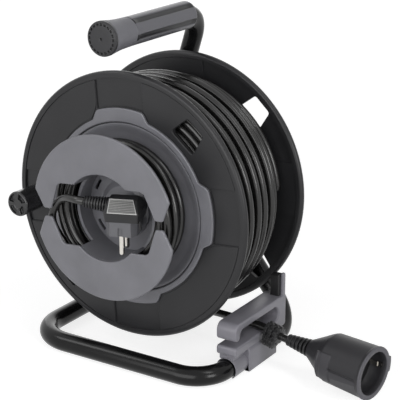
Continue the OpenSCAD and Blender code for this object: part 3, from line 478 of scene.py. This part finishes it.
# The plug panel's second, lighter tone is a painted highlight on its border and the crests of its ribs.
two_tone_and_painted_light("panel_grey", 86, 185, (1, 1, 0.99), 0.28, Specular_IOR_Level=0.4)
moulded("knob_black", 34, COOL, 0.26, 0.5, 0.08)
moulded("insert_grey", 84, COOL, 0.4, 0.5, 0.1)
moulded("cord_black", 24, RUBBER, 0.24, 1.2, 0.004, 0.08, 0.02, Specular_IOR_Level=0.5)
moulded("bush", 200, (1, 0.98, 0.92), 0.4, 0.5, 0.1)
moulded("steel", 190, (1, 1, 1.01), 0.28, 0.6, 0.05, 0.04, Metallic=1.0)
moulded("spring_steel", 120, (1, 1, 1.02), 0.3, 0.6, 0.05, 0.04, Metallic=1.0)
moulded("contact", 205, (1, 0.98, 0.95), 0.2, 0.8, 0.04, 0.03, Metallic=1.0)

# ---------- cords ----------
CORD = 7.2
LEAD_END, LEAD_LOOPS, RUN_LOOPS = math.radians(226), 9, 2.25
COIL_IN, COIL_STEP, COIL_LOW, COIL_RISE = 46.4, 7.7, 54.6, 8.0


def cord(name, path, sides, across, body, nodes):
    """A round cord along a path."""
    points = tube_points(path, CORD / 2, sides, across)
    return surface(name, points, finishes["cord_black"], body, capped=True, nodes=nodes, slot="cord_black")


def lead_loops(t):
    """The stowed lead at t loops: its radius runs in and out by turns, its height steps up in between."""
    part = t / RUN_LOOPS % 2
    radius = COIL_IN + COIL_STEP * RUN_LOOPS * np.abs(part - 1)
    height = COIL_LOW + COIL_RISE * sum(ease((t - k * RUN_LOOPS + 0.25) / 0.5) for k in (1, 2, 3))
    return polar(radius, LEAD_END + (LEAD_LOOPS - t) * 2 * math.pi, height)


lead_route = np.array([
    [-54, -35.2, 78.9], [-58, -28.6, 80.2], [-60.8, -21.6, 82.2], [-62.3, -14.3, 84.2], [-62.2, -7.2, 85.6],
    [-60.2, -0.8, 86], [-56.4, 5, 86], [-51.2, 9.9, 87], [-45, 13.3, 89.1], [-38.4, 15.3, 92],
    [-31.4, 16.3, 94.4], [-23.4, 16.3, 96], [-15.2, 15.4, 95]])
loops = lead_loops(np.linspace(0, LEAD_LOOPS, LEAD_LOOPS * 64 + 1))
lead_start = loops[0] - CORD * unit(loops[1] - loops[0])
lead_free = smooth_line(np.vstack([loops[-1], lead_route]), 4)[1:]
lead_path = on_drum(np.vstack([lead_start, loops[:-4], lead_free]))
lead = cord("lead", lead_path, 14, (0.03, -1.0, 0.02), "drum", ["lead_coil", "lead_cord"])

# The outer layer wanders a little across the drum. Its rear loops lie deeper, and its last beside the flange.
LOOPS, REAR_AT, FRONT_AT = 7, -42.0, 42.6
WOUND_R, REAR_SINK, SINK_LOOPS = 110.4, 9, 2.4
turns = np.linspace(0, LOOPS, LOOPS * 96 + 1)
wander = 1.5 * np.sin(turns * 2 * math.pi * 0.37 + 0.6) + 0.9 * np.sin(turns * 2 * math.pi * 1.13 + 2.1)
wander = wander * ease(turns * 2) * ease(LOOPS - 1 - turns)
wound_r = WOUND_R - REAR_SINK * np.maximum(0, 1 - turns / SINK_LOOPS)
wound_f = np.interp(turns, [0, LOOPS - 1, LOOPS], [REAR_AT, FRONT_AT - CORD - 0.3, FRONT_AT]) + wander
winding_path = on_drum(polar(wound_r, turns * 2 * math.pi, wound_f))
wound = cord("wound_cord", winding_path, 16, (0, -1, 0), "drum", ["cord_winding"])

# The layer under it climbs in three loops beside the front flange, and then runs back across the drum.
UNDER_LOOPS, CLIMB_LOOPS, CLIMB_STEP = 14.5, 3, 7.4
UNDER_R, UNDER_AT, SINK_FROM = 103.1, 42, -8.4
under = np.linspace(0, UNDER_LOOPS, int(UNDER_LOOPS * 72) + 1)
climb = np.maximum(0, CLIMB_LOOPS - under)
under_f = UNDER_AT - 2 * UNDER_AT * np.maximum(0, under - CLIMB_LOOPS) / (UNDER_LOOPS - CLIMB_LOOPS)
sunk = REAR_SINK * np.maximum(0, (SINK_FROM - under_f) / (UNDER_AT + SINK_FROM))
under_r = UNDER_R - CLIMB_STEP * climb - sunk
under_path = on_drum(polar(under_r, -under * 2 * math.pi, under_f))
under_layer = cord("under_layer", under_path, 10, (0, -1, 0), "drum", ["cord_core"])

tail_route = np.array([
    [-14, 24.5, 24.9], [-4, 24.1, 24.7], [6, 23.5, 24.8], [16, 22.7, 25.2], [26, 21.5, 26], [36, 19.9, 27.1],
    [46, 17.8, 28.4], [56, 15.2, 29.8], [66, 12.3, 31.1], [76, 9.4, 32.4], [86, 6.7, 33.5], [96, 4.3, 34.4],
    [106, 2.4, 34.8], [114, 1.2, 34.5], [121, 0.2, 33.4], [128, -0.8, 32], [135, -1.7, 30.7],
    [143, -2.6, 29.8], [151, -3.6, 29.5]])
tail_path = smooth_line(tail_route, 5)
tail = cord("tail", tail_path, 20, (0, 0, 1), "stand", ["cord_tail"])


# ---------- stand ----------
TUBE_R, TUBE_Z, HANDLE_Z = 9.0, 9.0, 303.0
LEFT_X, GUIDE_X, FRONT_Y, REAR_Y = -91.0, 106.0, -79.5, 74.5
BENDS = [25, 39, 39, 31, 31]
corners = np.array([
    (0, -77.0, HANDLE_Z), (0, REAR_Y, HANDLE_Z), (LEFT_X, REAR_Y, TUBE_Z), (LEFT_X, FRONT_Y, TUBE_Z),
    (GUIDE_X, FRONT_Y, TUBE_Z), (GUIDE_X, REAR_Y, TUBE_Z)], float)
up_line, brace = unit(corners[1] - corners[2]), unit(np.array([0, REAR_Y, AXLE_Z]) - corners[5])
gap = corners[2] - corners[5]
reach = (gap[0] * up_line[2] - gap[2] * up_line[0]) / (brace[0] * up_line[2] - brace[2] * up_line[0])
corners = np.vstack([corners, corners[5] + brace * reach])
stand_path = rounded(corners, BENDS)
surface("stand_tube", tube_points(stand_path, TUBE_R, 48, (0.9, 0.1, 0.42)), finishes["tube_black"], "stand",
        capped=True, nodes=["frame_tube"], slot="tube_black")

# ---------- grip ----------
SLEEVE_FRONT, GRIP_L, GRIP_R, GRIP_BORE = -44.5, 95.0, 13.0, 9.1
COLLAR_L, CAP_R, CAP_DASHES = 33, 15.5, 20
COLLAR_FRONT = SLEEVE_FRONT - COLLAR_L
FLUTE_AT, FLUTE_DEPTH, END_DROP, MARK_DEPTH = math.radians(53), 1.1, 0.9, 1.2


def on_handle(front):
    """The handle's frame: the height runs back from front along the handle."""
    return placed((0, front, HANDLE_Z), (1, 0, 0), (0, 0, 1), (0, 1, 0))


def flutes(angle):
    """Five flutes round the sleeve, each about 25 degrees wide: the eased cosine of five times the angle."""
    return ease(0.5 + 2.0 * (np.cos(5 * (angle - FLUTE_AT)) - 0.46))


def cap_marks(r, angle):
    """Where the cap is sunk: dashes round its edge and a dot in its middle."""
    dashes = band(r, 11.7, 13.4, 0.3) * ease((np.cos(CAP_DASHES * angle) + 0.5) / 0.4)
    return dashes + 1 - ease((r - 0.9) / 0.4)


along = np.concatenate([
    [0, 0.01, 0.5, 1.2], np.linspace(2, GRIP_L - 2, 24), [GRIP_L - 1, GRIP_L - 0.3, GRIP_L]])[:, None]
turn = circle(300)
flute = flutes(turn) * ease((along - 1.5) / 3) * ease((GRIP_L - 1.5 - along) / 3)
ends = END_DROP * (1 - ease(along / 1.2)) + END_DROP * (1 - ease((GRIP_L - along) / 1.2))
sleeve_r = GRIP_R - FLUTE_DEPTH * flute - ends
sleeve_r[0] = GRIP_BORE
sleeve_points = on_handle(SLEEVE_FRONT)(polar(sleeve_r, turn, along))
sleeve = surface("sleeve", sleeve_points, finishes["sleeve_grey"], "stand", capped=True,
                 nodes=["grip_sleeve"], slot="grip_grey")
paint(sleeve, lambda p: flutes(np.arctan2(p[:, 2] - HANDLE_Z, p[:, 0])))

waist = smooth_line([[CAP_R, 0.8], [14.6, 7.5], [13.7, 16], [13.25, 25], [13.1, 31.8]], 6)
collar = np.vstack([
    [GRIP_BORE, 0], [CAP_R - 0.8, 0], [CAP_R - 0.2, 0.3], waist, [12.8, 32.6], [12.3, COLLAR_L],
    [GRIP_BORE, COLLAR_L]])
surface("collar", lathe_points(collar, on_handle(COLLAR_FRONT)), finishes["grip_grey"], "stand",
        wrap=(True, True), nodes=["grip_collar"], slot="grip_grey")

ring = np.concatenate([
    [0.01, 0.5, 0.8, 0.95, 1.1, 1.25, 1.5], np.linspace(3, 11, 6), np.linspace(11.3, 13.8, 18),
    np.linspace(14.0, CAP_R, 10)])[:, None]
turn = circle(20 * CAP_DASHES)
groove = np.exp(-(((ring - 14.5) / 0.25) ** 2))
dome = 2.0 + 2.0 * np.sqrt(1 - np.minimum(1, (ring / CAP_R) ** 6))
height = -(dome - MARK_DEPTH * cap_marks(ring, turn) - 0.4 * groove)
cap_points = np.vstack([polar(ring, turn, height), polar(CAP_R, turn, -0.2), polar(TUBE_R, turn, -0.2)])
cap = surface("end_cap", on_handle(COLLAR_FRONT)(cap_points), finishes["cap_dark"], "stand", capped=True,
              nodes=["grip_cap"], slot="cap_dark")
paint(cap, lambda p: cap_marks(
    np.hypot(p[:, 0], p[:, 2] - HANDLE_Z), np.arctan2(p[:, 2] - HANDLE_Z, p[:, 0])))

# ---------- spool's ring plate and dish ----------
SEAM, RING_R, LOBE_R = 79.0, 84.6, 92.0
LOBE_FROM, LOBE_TO = math.radians(14.8), math.radians(21.5)


def ring_edge(angle):
    """The ring plate's outline: the ring's radius, and round each quarter a lobe that ramps up to its own."""
    off = np.abs((angle + math.pi / 4) % (math.pi / 2) - math.pi / 4)
    return RING_R + (LOBE_R - RING_R) * ease((LOBE_TO - off) / (LOBE_TO - LOBE_FROM))


RING_BACK, RING_FACE = 52.3, 55.0
turn = circle(1440)
edge = ring_edge(turn)
inside = SEAM + 0.35
rows = [
    (inside, RING_BACK), (edge, RING_BACK), (edge, RING_FACE - 0.7), (edge - 0.15, RING_FACE - 0.3),
    (edge - 0.6, RING_FACE), (edge - 1.2, RING_FACE), (inside + 1.2, RING_FACE), (inside + 0.6, RING_FACE),
    (inside + 0.15, RING_FACE - 0.3), (inside, RING_FACE - 0.7)]
ring_points = np.vstack([polar(r, turn, h) for r, h in rows])
surface("ring_plate_form", on_drum(ring_points), finishes["spool_grey"], "drum", wrap=(True, True),
        nodes=["ring_plate"], slot="spool_grey")

slope = smooth_line([[78.3, 53.4], [77.6, 53.95], [75.6, 53.5], [72.6, 52.2], [69.2, 51.1], [64, 50.6],
                     [56, 50.5], [43.4, 50.5]], 6)
dish = np.vstack([[43.4, 46.5], [72.9, 46.5], [72.9, 51.0], [78.3, 52.0], slope])
surface("dish", lathe_points(dish, on_drum, 256), finishes["spool_grey"], "drum", wrap=(True, True),
        nodes=["spool_dish"], slot="spool_grey")

# ---------- raised panels between the pressed sectors of the front flange ----------
BAND, RIM, PANEL_MIDDLE, PANEL_LEVELS = 25.7, 118.4, (70.9, 70.9), (52.0, 53.1)
WINDOW_R, WINDOW_W, WINDOW_H = 90.5, 29.0, 21.5


def panel_outline():
    """One quarter's panel: round the ring plate, a curved corner and a side at each end, and the rim."""
    angles = np.radians(np.linspace(22, 68, 60))
    radius = ring_edge(angles) + 1.6
    inner = spread(radius * np.cos(angles), radius * np.sin(angles))
    start, corner = np.array([[96.0, BAND]]), np.array([[89.0, BAND]])
    t = np.linspace(0, 1, 14)[:, None]
    bend = start * (1 - t) ** 2 + 2 * corner * t * (1 - t) + inner[:1] * t**2
    out = math.asin(BAND / RIM)
    arc = np.linspace(math.pi / 2 - out, out, 50)
    rim = RIM * spread(np.cos(arc), np.sin(arc))
    return np.vstack([bend, inner[1:-1], bend[::-1, ::-1], rim])


def window_outline():
    """A window in the middle of a quarter: narrower at its outer side, with rounded corners."""
    a, b, high = WINDOW_W / 2, WINDOW_W * 0.36, WINDOW_R + WINDOW_H
    flat = softened([[WINDOW_R, -a], [high, -b], [high, b], [WINDOW_R, a]], 3.0, 6)
    c = math.sqrt(0.5)
    return spread(c * (flat[:, 0] - flat[:, 1]), c * (flat[:, 0] + flat[:, 1]))


def quarter(k):
    """The drum's frame turned by k quarters."""
    c, d = [(1, 0), (0, 1), (-1, 0), (0, -1)][k]
    return lambda p: on_drum(spread(c * p[..., 0] - d * p[..., 1], d * p[..., 0] + c * p[..., 1], p[..., 2]))


for k in range(4):
    hole = window_outline() if k % 2 == 0 else None
    plate("panel_%d" % k, panel_outline(), PANEL_MIDDLE, PANEL_LEVELS, quarter(k), finishes["drum_dark"],
          "drum", 0.45, hole, slot="drum_dark")

# ---------- cable guide ----------
GUIDE_W, GUIDE_FRONT, GUIDE_BACK = 20.8, -48.5, 42.5
LOWER_ARM, SLOT_BOTTOM, SLOT_TOP, GUIDE_TOP, MOUTH = 22.0, 30.7, 45.7, 52.7, 36.7
REAR_BAR, LIP, CLAMP_R, BORE_R, CHEEK = 14.0, 8.0, 10.5, 9.3, 7.2
sideways = placed((0, 0, 0), (0, 1, 0), (0, 0, 1), (1, 0, 0))
frontways = placed((GUIDE_X, 0, 0), (1, 0, 0), (0, 0, 1), (0, 1, 0))


def guide_part(name, loop, levels, place, edge, **rest):
    """A slab of the guide."""
    slab(name, loop, levels, place, finishes["guide_grey"], "stand", edge, slot="guide_grey", **rest)


def box_loop(low, high, radii):
    """A rectangle's outline between two corners, with the radii of its four corners, anticlockwise."""
    return closed_loop([low, (high[0], low[1]), high, (low[0], high[1])], radii)


def channel(half_width, top, foot):
    """A block over the tube, seen from the front: its channel is round above, with straight cheeks below."""
    low = TUBE_Z - math.sqrt(BORE_R**2 - CHEEK**2)
    start = math.atan2(low - TUBE_Z, CHEEK)
    t = np.linspace(start, math.pi - start, 40)
    bore = spread(BORE_R * np.cos(t), TUBE_Z + BORE_R * np.sin(t))
    corner = closed_loop([(half_width, foot), (half_width, top), (-half_width, top), (-half_width, foot)],
                         [0.6, 5.0, 5.0, 0.6])
    split = int(np.argmin(corner[:, 1] + 0.01 * np.abs(corner[:, 0])))
    outer = np.roll(corner, -split, 0)
    outer = outer[(outer[:, 1] > foot + 0.01) | (np.abs(outer[:, 0]) > CHEEK)]
    right, left = outer[outer[:, 0] > 0], outer[outer[:, 0] <= 0]
    return np.vstack([right, left, [[-CHEEK, foot]], bore[::-1], [[CHEEK, foot]]])


slot_end = GUIDE_BACK - REAR_BAR
arms = closed_loop(
    [(GUIDE_FRONT, LOWER_ARM), (GUIDE_BACK, LOWER_ARM), (GUIDE_BACK, GUIDE_TOP), (GUIDE_FRONT, GUIDE_TOP),
     (GUIDE_FRONT, MOUTH), (GUIDE_FRONT + LIP, MOUTH), (GUIDE_FRONT + LIP, SLOT_TOP), (slot_end, SLOT_TOP),
     (slot_end, SLOT_BOTTOM), (GUIDE_FRONT, SLOT_BOTTOM)],
    [2.6, 4, 3, 7.5, 3.4, 3.4, 5.5, 7.3, 7.3, 2.6])
guide_part("guide_arms", arms, (GUIDE_X - GUIDE_W / 2, GUIDE_X + GUIDE_W / 2), sideways, 1.7,
           nodes=["cable_guide"])
guide_part("guide_body", channel(12.0, LOWER_ARM + 3, 0.6), (-27.0, 23.0), frontways, 0.9)
sweep = np.linspace(math.radians(-50), math.radians(230), 57)
clamp = np.vstack([
    spread(CLAMP_R * np.cos(sweep), TUBE_Z + CLAMP_R * np.sin(sweep)),
    spread(BORE_R * np.cos(sweep), TUBE_Z + BORE_R * np.sin(sweep))[::-1]])
guide_part("guide_clamp", clamp, (-48.0, -26.0), frontways, 0.6)
guide_part("guide_web", box_loop((-8, 17.5), (7, 25.5), [0.6] * 4), (-46.5, -26.0), frontways, 0.5)
strip = box_loop((36.2, 49), (41.5, 74.6), [0.9, 0.9, 2.2, 1.6])
guide_part("post_strip", strip, (113.3, 115.9), sideways, 0.8, nodes=["guide_post"])
block = box_loop((32.7, 51), (41.2, 73.6), [0.8, 0.8, 1.5, 1.5])
slab("post_block", block, (104.2, 113.4), sideways, finishes["soft_black"], "stand", 0.8, slot="soft_black")

# ---------- knob ----------
CRANK_R, KNOB_R, KNOB_BACK, KNOB_L, POCKET_DEPTH = 105.3, 12.0, 54.5, 28.6, 3.0


def at_knob(points):
    """The knob's own frame, which looks outwards, to the row frame."""
    return on_drum(np.asarray(points, float) + (-CRANK_R, 0, KNOB_BACK))


ring = np.concatenate([
    [0.01], np.linspace(1, 3.6, 4), np.linspace(4.0, 10.6, 28), [10.8, 11.1, 11.4, 11.7, 11.9, KNOB_R]])
ring = ring[:, None]
turn = circle(192)
pocket = band(ring, 4.9, 10.1, 0.6) * ease((np.cos(4 * turn - math.pi) + 0.62) / 0.3)
rim_drop = 2.2 * (1 - np.sqrt(1 - np.clip((ring - 9.8) / 2.2, 0, 1) ** 2))
height = KNOB_L - POCKET_DEPTH * pocket - 0.8 * ease((4.6 - ring) / 0.5) - rim_drop
down = np.linspace(KNOB_L - 2.6, 1.0, 12)[:, None]
wall_r = KNOB_R - 0.75 * (1 - down / KNOB_L)
foot = [polar(r, turn, h) for r, h in ((10.9, 0.2), (10.2, 0.0), (3.0, 0.0))]
knob_points = at_knob(np.vstack([polar(ring, turn, height), polar(wall_r, turn, down), *foot]))
surface("knob", knob_points, finishes["knob_black"], "knob", capped=True, nodes=["crank_knob", "knob_core"],
        slot="soft_black")

# ---------- coupling ----------
WELL_R, RIM_R, MOUTH_Z, NECK_Z = 19.75, 24.5, 86.0, 18.6
FACET_R, BLOCK_R, LUG_R, GROOVE_DEPTH = 22.7, 22.9, 28.4, 1.7
coupling_axes = turned(1, 93) @ turned(2, -8)
at_coupling = placed(tail_route[-1], *coupling_axes)


def from_below(angle):
    """An angle about the coupling's axis, as degrees from its lower side, -180 to 180."""
    return (np.degrees(angle) + 270) % 360 - 180


bell = smooth_line([
    [8.6, NECK_Z], [9.6, 20.5], [15.6, 30.6], [20.6, 38.8], [22.2, 42.4], [22.7, 47], [23.9, 80]], 8)
outer = np.vstack([
    bell, [[24.0, 82.6], [24.35, 83.3], [RIM_R, 84.2], [RIM_R, 85.0], [24.2, 85.7], [23.6, MOUTH_Z]]])
z = np.concatenate([np.linspace(NECK_Z, 50, 90), np.linspace(50.3, 85.0, 110)])[:, None]
base = np.interp(z, outer[:, 1], outer[:, 0])
angle = circle(360, -math.pi)
lean = from_below(angle)
grip_block = ease((z - 35.5) / 4) * ease((53 - z) / 0.8 + 0.5) * band(lean, -33, 36, 3)
ridges = sum(np.exp(-(((z - k) / 0.4) ** 2)) for k in (40.5, 42.8)) * band(lean, -28, 30, 3)
facet = FACET_R / np.cos(np.radians(np.clip(lean - 31, -40, 40)))
groove = band(z, 52.5, 81, 0.6) * band(lean, -3.2, 3.0, 1.2)
lug = band(z, 76, 85, 0.8) * band(np.abs(lean) - 180, -15, 15, 3)
shell_r = base + (np.maximum(BLOCK_R, base + 0.9) - base) * grip_block - 0.35 * ridges
shell_r = np.where(band(z, 53.5, 81, 0.5) > 0.5, np.minimum(shell_r, facet), shell_r)
shell_r = shell_r - GROOVE_DEPTH * groove + (LUG_R - base) * lug
rim = shell_r[-1:] - 0.3
lip = [(np.maximum(24.35, rim), 85.6), (np.maximum(24.0, rim), 85.9), (23.5, MOUTH_Z), (20.6, MOUTH_Z),
       (20.1, 85.85), (WELL_R, 85.3), (WELL_R, 80), (WELL_R, 67)]
coupling_points = np.vstack([polar(shell_r, angle, z), *[polar(r, angle, h) for r, h in lip]])
coupling = surface("coupling", at_coupling(coupling_points), finishes["coupling_black"], "stand", capped=True,
                   nodes=["coupling_body"], slot="soft_black")


def coupling_painted_sheen(points):
    """The painted sheen on the black coupling: its lip, its grip block and the flat side beside the groove
    get a lighter tone where light catches them.
    """
    local = (points - tail_route[-1]) @ coupling_axes.T
    high, r = local[:, 2], np.hypot(local[:, 0], local[:, 1])
    side = from_below(np.arctan2(local[:, 1], local[:, 0]))
    lip_share = ease((high - 84.2) / 0.8) * ease((r - WELL_R + 0.05) / 0.2)
    grip_share = band(high, 37, 53, 0.8) * band(side, -33, 36, 2)
    flat_share = band(high, 53, 82, 1) * band(side, 3, 62, 4)
    return np.clip(0.4 * lip_share + 0.12 * grip_share + 0.1 * flat_share, 0, 1)


# Lays the painted sheen onto the coupling's points.
paint(coupling, coupling_painted_sheen)
below = placed((0, 0, -6), (1, 0, 0), (0, 1, 0), (0, 0, 1))
ribbed("coupling_boot", lambda p: at_coupling(below(p)), 25.5, (5.5, 8.4), 6, 4.3, finishes["soft_black"],
       "stand", nodes=["coupling_relief"], slot="soft_black")

# ---------- plug ----------
RELIEF_L, PLUG_FLAT, RELIEF_Z, RELIEF_TILT = 20.5, 14.0, 24.0, math.radians(5)
plug_shift = np.array([
    PLUG_FLAT + 1 + RELIEF_L * math.cos(RELIEF_TILT), 0, -RELIEF_Z - RELIEF_L * math.sin(RELIEF_TILT)])
plug_axes = turned(2, 22) @ turned(0, -90) @ turned(2, -4.5)


def at_plug(points):
    """The plug's own frame, its pins down, to the row frame: hung from the lead's end in the drum's cup."""
    return on_drum((np.asarray(points, float) + plug_shift) @ plug_axes + lead_route[-1])


at_relief = placed((-PLUG_FLAT - 1, 0, RELIEF_Z), *turned(1, -85))
ribbed("plug_boot", lambda p: at_plug(at_relief(p)), RELIEF_L, (7.0, 5.3), 8, 4.1, finishes["soft_black"],
       "drum", nodes=["plug_relief"], slot="soft_black")

# The shell is lofted through three levels, each with its half width and its two ends.
PLUG_LEFT, PLUG_RIGHT, RIDGE_Z, PLUG_TOP, INSERT_Z = -15.0, 17.6, 22.4, 32.0, 13.2
RIDGE_HALF, TOP_HALF = 18.5, 6.4
rings = []
for z, half, left, right in (
    (INSERT_Z, 15.5, PLUG_LEFT + 0.8, PLUG_RIGHT - 1.2), (RIDGE_Z, RIDGE_HALF, PLUG_LEFT, PLUG_RIGHT),
    (PLUG_TOP, TOP_HALF, PLUG_LEFT + 2.6, PLUG_RIGHT - 3.8),
):
    shape = closed_loop([(left, -half), (right, -half), (right, half), (left, half)], [2.4] * 4)
    rings.append(spread(*shape.T, z))
shell = [rings[0] * (0.9, 0.9, 1), rings[0]]
for low_ring, high_ring in zip(rings, rings[1:]):
    shell += [low_ring * (1 - t) + high_ring * t for t in (0.03, 0.08, 0.92, 0.97, 1.0)]
shell.append(spread(*(rings[-1][:, :2] * 0.93 + 0.07 * rings[-1][:, :2].mean(0)).T, PLUG_TOP))
surface("plug_shell", at_plug(np.stack(shell)), finishes["soft_black"], "drum", capped=True,
        nodes=["plug_body"], slot="soft_black")

# The ribbed panel stands a little proud of the shell's front slope. Its back is sunk in the shell.
PANEL_RIBS, PANEL_SUNK = 9, 1.2
across, up = np.linspace(0, 1, 81)[:, None, None], np.linspace(0, 1, 57)[None, :, None]
low_left = np.array([PLUG_LEFT + 4.0, -RIDGE_HALF, RIDGE_Z])
low_right = np.array([PLUG_RIGHT - 1.6, -RIDGE_HALF, RIDGE_Z])
top_left = np.array([PLUG_LEFT + 3.6, -TOP_HALF, PLUG_TOP])
top_right = np.array([PLUG_RIGHT - 7.4, -TOP_HALF, PLUG_TOP])
flat = (low_left * (1 - across) + low_right * across) * (1 - up)
flat = flat + (top_left * (1 - across) + top_right * across) * up
border_share = 1 - band(across, 0.03, 0.97, 0.02) * band(up, 0.05, 0.95, 0.03)
ribs_share = (0.5 + 0.5 * np.cos(up * 2 * math.pi * PANEL_RIBS)) * (1 - border_share)
rise = 0.35 + 0.4 * border_share + 0.35 * ribs_share
rise = rise * band(across, 0.005, 0.995, 0.02) * band(up, 0.01, 0.99, 0.02) - 0.3
facing = unit(np.cross(low_right - low_left, top_left - low_left))
rows, cols = rise.shape[:2]
border = np.concatenate([
    np.arange(cols), np.arange(1, rows) * cols + cols - 1, (rows - 1) * cols + np.arange(cols - 2, -1, -1),
    np.arange(rows - 2, 0, -1) * cols])
front = (flat + facing * rise).reshape(-1, 3)
back = rows * cols + np.arange(len(border))
sides = spread(border, np.roll(border, -1), np.roll(back, -1), back).astype(int)
panel = piece("plug_panel", at_plug(np.vstack([front, front[border] - PANEL_SUNK * facing])),
              [*grid_faces(rows, cols).tolist(), *sides.tolist(), back.tolist()], finishes["panel_grey"],
              "drum", slot="insert_grey")
# Painted highlight: the panel's border and the crests of its ribs are coloured lighter, as light on their
# edges.
panel_painted_highlight = np.clip(border_share + 0.35 * ribs_share, 0, 1)
paint(panel, lambda p: np.append(panel_painted_highlight.ravel(), np.ones(len(border))))

# ---------- cord's clip ----------
CLIP_AT, CLIP_DIR, CLIP_HALF = (128.0, -0.8, 32.0), unit([0.973, -0.132, -0.188]), 7
clip_side = unit(np.cross((0, 0, 1), CLIP_DIR))
at_clip = placed(CLIP_AT, clip_side, np.cross(CLIP_DIR, clip_side), CLIP_DIR)
turn = circle(160)
height = np.linspace(-CLIP_HALF, CLIP_HALF, 85)[:, None]
teeth = ease((np.cos(10 * turn) + 0.3) / 0.5)
discs = sum(band(height, low, high, 0.5) for low, high in ((-7.2, -4.0), (-1.6, 1.6), (4.0, 7.2)))
clip_r = 5.6 + discs * (1.8 + 1.4 * teeth)
surface("clip", at_clip(polar(clip_r, turn, height)), finishes["soft_black"], "stand", capped=True,
        nodes=["cord_clip"], slot="soft_black")
share = height / CLIP_HALF
lobe_r = (4.9 + 1.2 * band(share * 5, -4.6, 4.6, 0.5) * ease((np.cos(share * 4 * math.pi) + 0.4) / 0.5)
          + 0.5 * ease((np.cos(9 * turn) + 0.2) / 0.5))
surface("clip_lobe", at_clip(polar(lobe_r, turn, 0.86 * height) + (-3.6, -6.6, 0)), finishes["soft_black"],
        "stand", capped=True, slot="soft_black")

# ---------- CAD forms with eased edges ----------
for node, width, finish in (
    ("axle_saddle", 1.2, "tube_black"), ("rear_flange", 0.5, "drum_dark"), ("front_flange", 0.5, "drum_dark"),
    ("spool_core", 0.5, "spool_grey"), ("disc_upper", 1.3, "spool_grey"), ("disc_lower", 1.3, "spool_grey"),
    ("hub_cap", 0.4, "spool_grey"), ("plug_insert", 0.4, "insert_grey"), ("lead_gland", 0.4, "drum_dark"),
):
    eased(node, width, finishes[finish], slot=finish)

# ---------- CAD forms as they are ----------
for node, finish in (
    ("axle_bolt", "steel"), ("axle", "steel"), ("rear_washer", "steel"), ("front_washer", "steel"),
    ("axle_clip", "spring_steel"), ("drum_barrel", "drum_dark"), ("drum_screws", "steel"),
    ("rear_bush", "bush"), ("front_bush", "bush"), ("spool_screws", "steel"), ("plug_pins", "contact"),
    ("plug_earth", "contact"), ("knob_pin", "steel"), ("coupling_insert", "soft_black"),
    ("coupling_contacts", "contact"), ("coupling_earth", "contact"),
):
    data = frame["nodes"][node].data
    data.materials.clear()
    data.materials.append(finishes[finish])


# ---------- stage and light ----------
def seen_in(tree):
    """1 for rays from the camera and for those that gloss or glass sends on, and 0 for all others."""
    kinds = ("Camera", "Glossy", "Transmission")
    camera_ray, glossy, through = [add(tree, "LightPath", output="Is %s Ray" % kind) for kind in kinds]
    together = camera_ray + glossy + through
    return together.maths("MINIMUM", together, 1.0)


FLOOR_HALF, FLOOR_GLOW, FLOOR_SHARE = 6, 1.75, 0.45
SKY_LIGHT, SKY_SEEN = 0.25, 0.77
floor_mesh = bpy.data.meshes.new("floor")
floor_corners = [(x * FLOOR_HALF, y * FLOOR_HALF, 0) for x, y in ((-1, -1), (1, -1), (1, 1), (-1, 1))]
floor_mesh.from_pydata(floor_corners, [], [(0, 1, 2, 3)])
floor = bpy.data.objects.new("floor", floor_mesh)
bpy.context.scene.collection.objects.link(floor)
paper = Finish("floor_paper", Base_Color=(0.8, 0.8, 0.8, 1), Roughness=0.9, Specular_IOR_Level=0.0)
tree = paper.tree
plain = Wire(tree, paper.shader.outputs[0])
glow = add(tree, "Emission", sockets={"Strength": FLOOR_GLOW})
lit = add(tree, "MixShader", sockets={0: seen_in(tree) * FLOOR_SHARE, 1: plain, 2: glow})
plug_in(tree, tree.nodes["Material Output"].inputs[0], lit)
floor_mesh.materials.append(paper.material)

world = bpy.data.worlds.new("studio")
bpy.context.scene.world = world
world.use_nodes = True
sky = world.node_tree
background = sky.nodes["Background"]
plug_in(sky, background.inputs["Strength"], seen_in(sky) * SKY_SEEN + SKY_LIGHT)
background.inputs["Color"].default_value = (1, 1, 1, 1)

LAMPS_AIM = np.array([0, 0, 0.13])


def lamp(name, place, size, power):
    """A soft box that faces the object, in metres and watts."""
    data = bpy.data.lights.new(name, "AREA")
    data.shape = "RECTANGLE"
    data.size, data.size_y = size
    data.energy = power
    obj = bpy.data.objects.new(name, data)
    back = unit(np.array(place) - LAMPS_AIM)
    side = unit(np.cross((0, 0, 1), back))
    obj.matrix_world = Matrix([[*side], [*np.cross(back, side)], [*back]]).transposed().to_4x4()
    obj.location = place
    bpy.context.scene.collection.objects.link(obj)


lamp("key", (0.0, -2.0, 0.5), (2.2, 1.4), 30)
lamp("left", (-1.25, -0.9, 1.6), (0.6, 0.6), 5)
lamp("fill", (2.05, -0.75, 0.6), (0.7, 0.9), 16)
lamp("top", (1.15, -0.3, 1.75), (0.4, 0.8), 5.5)
lamp("back", (-1.2, 1.9, 0.7), (2.2, 1.2), 8)

view = bpy.context.scene.view_settings
view.view_transform = "Standard"
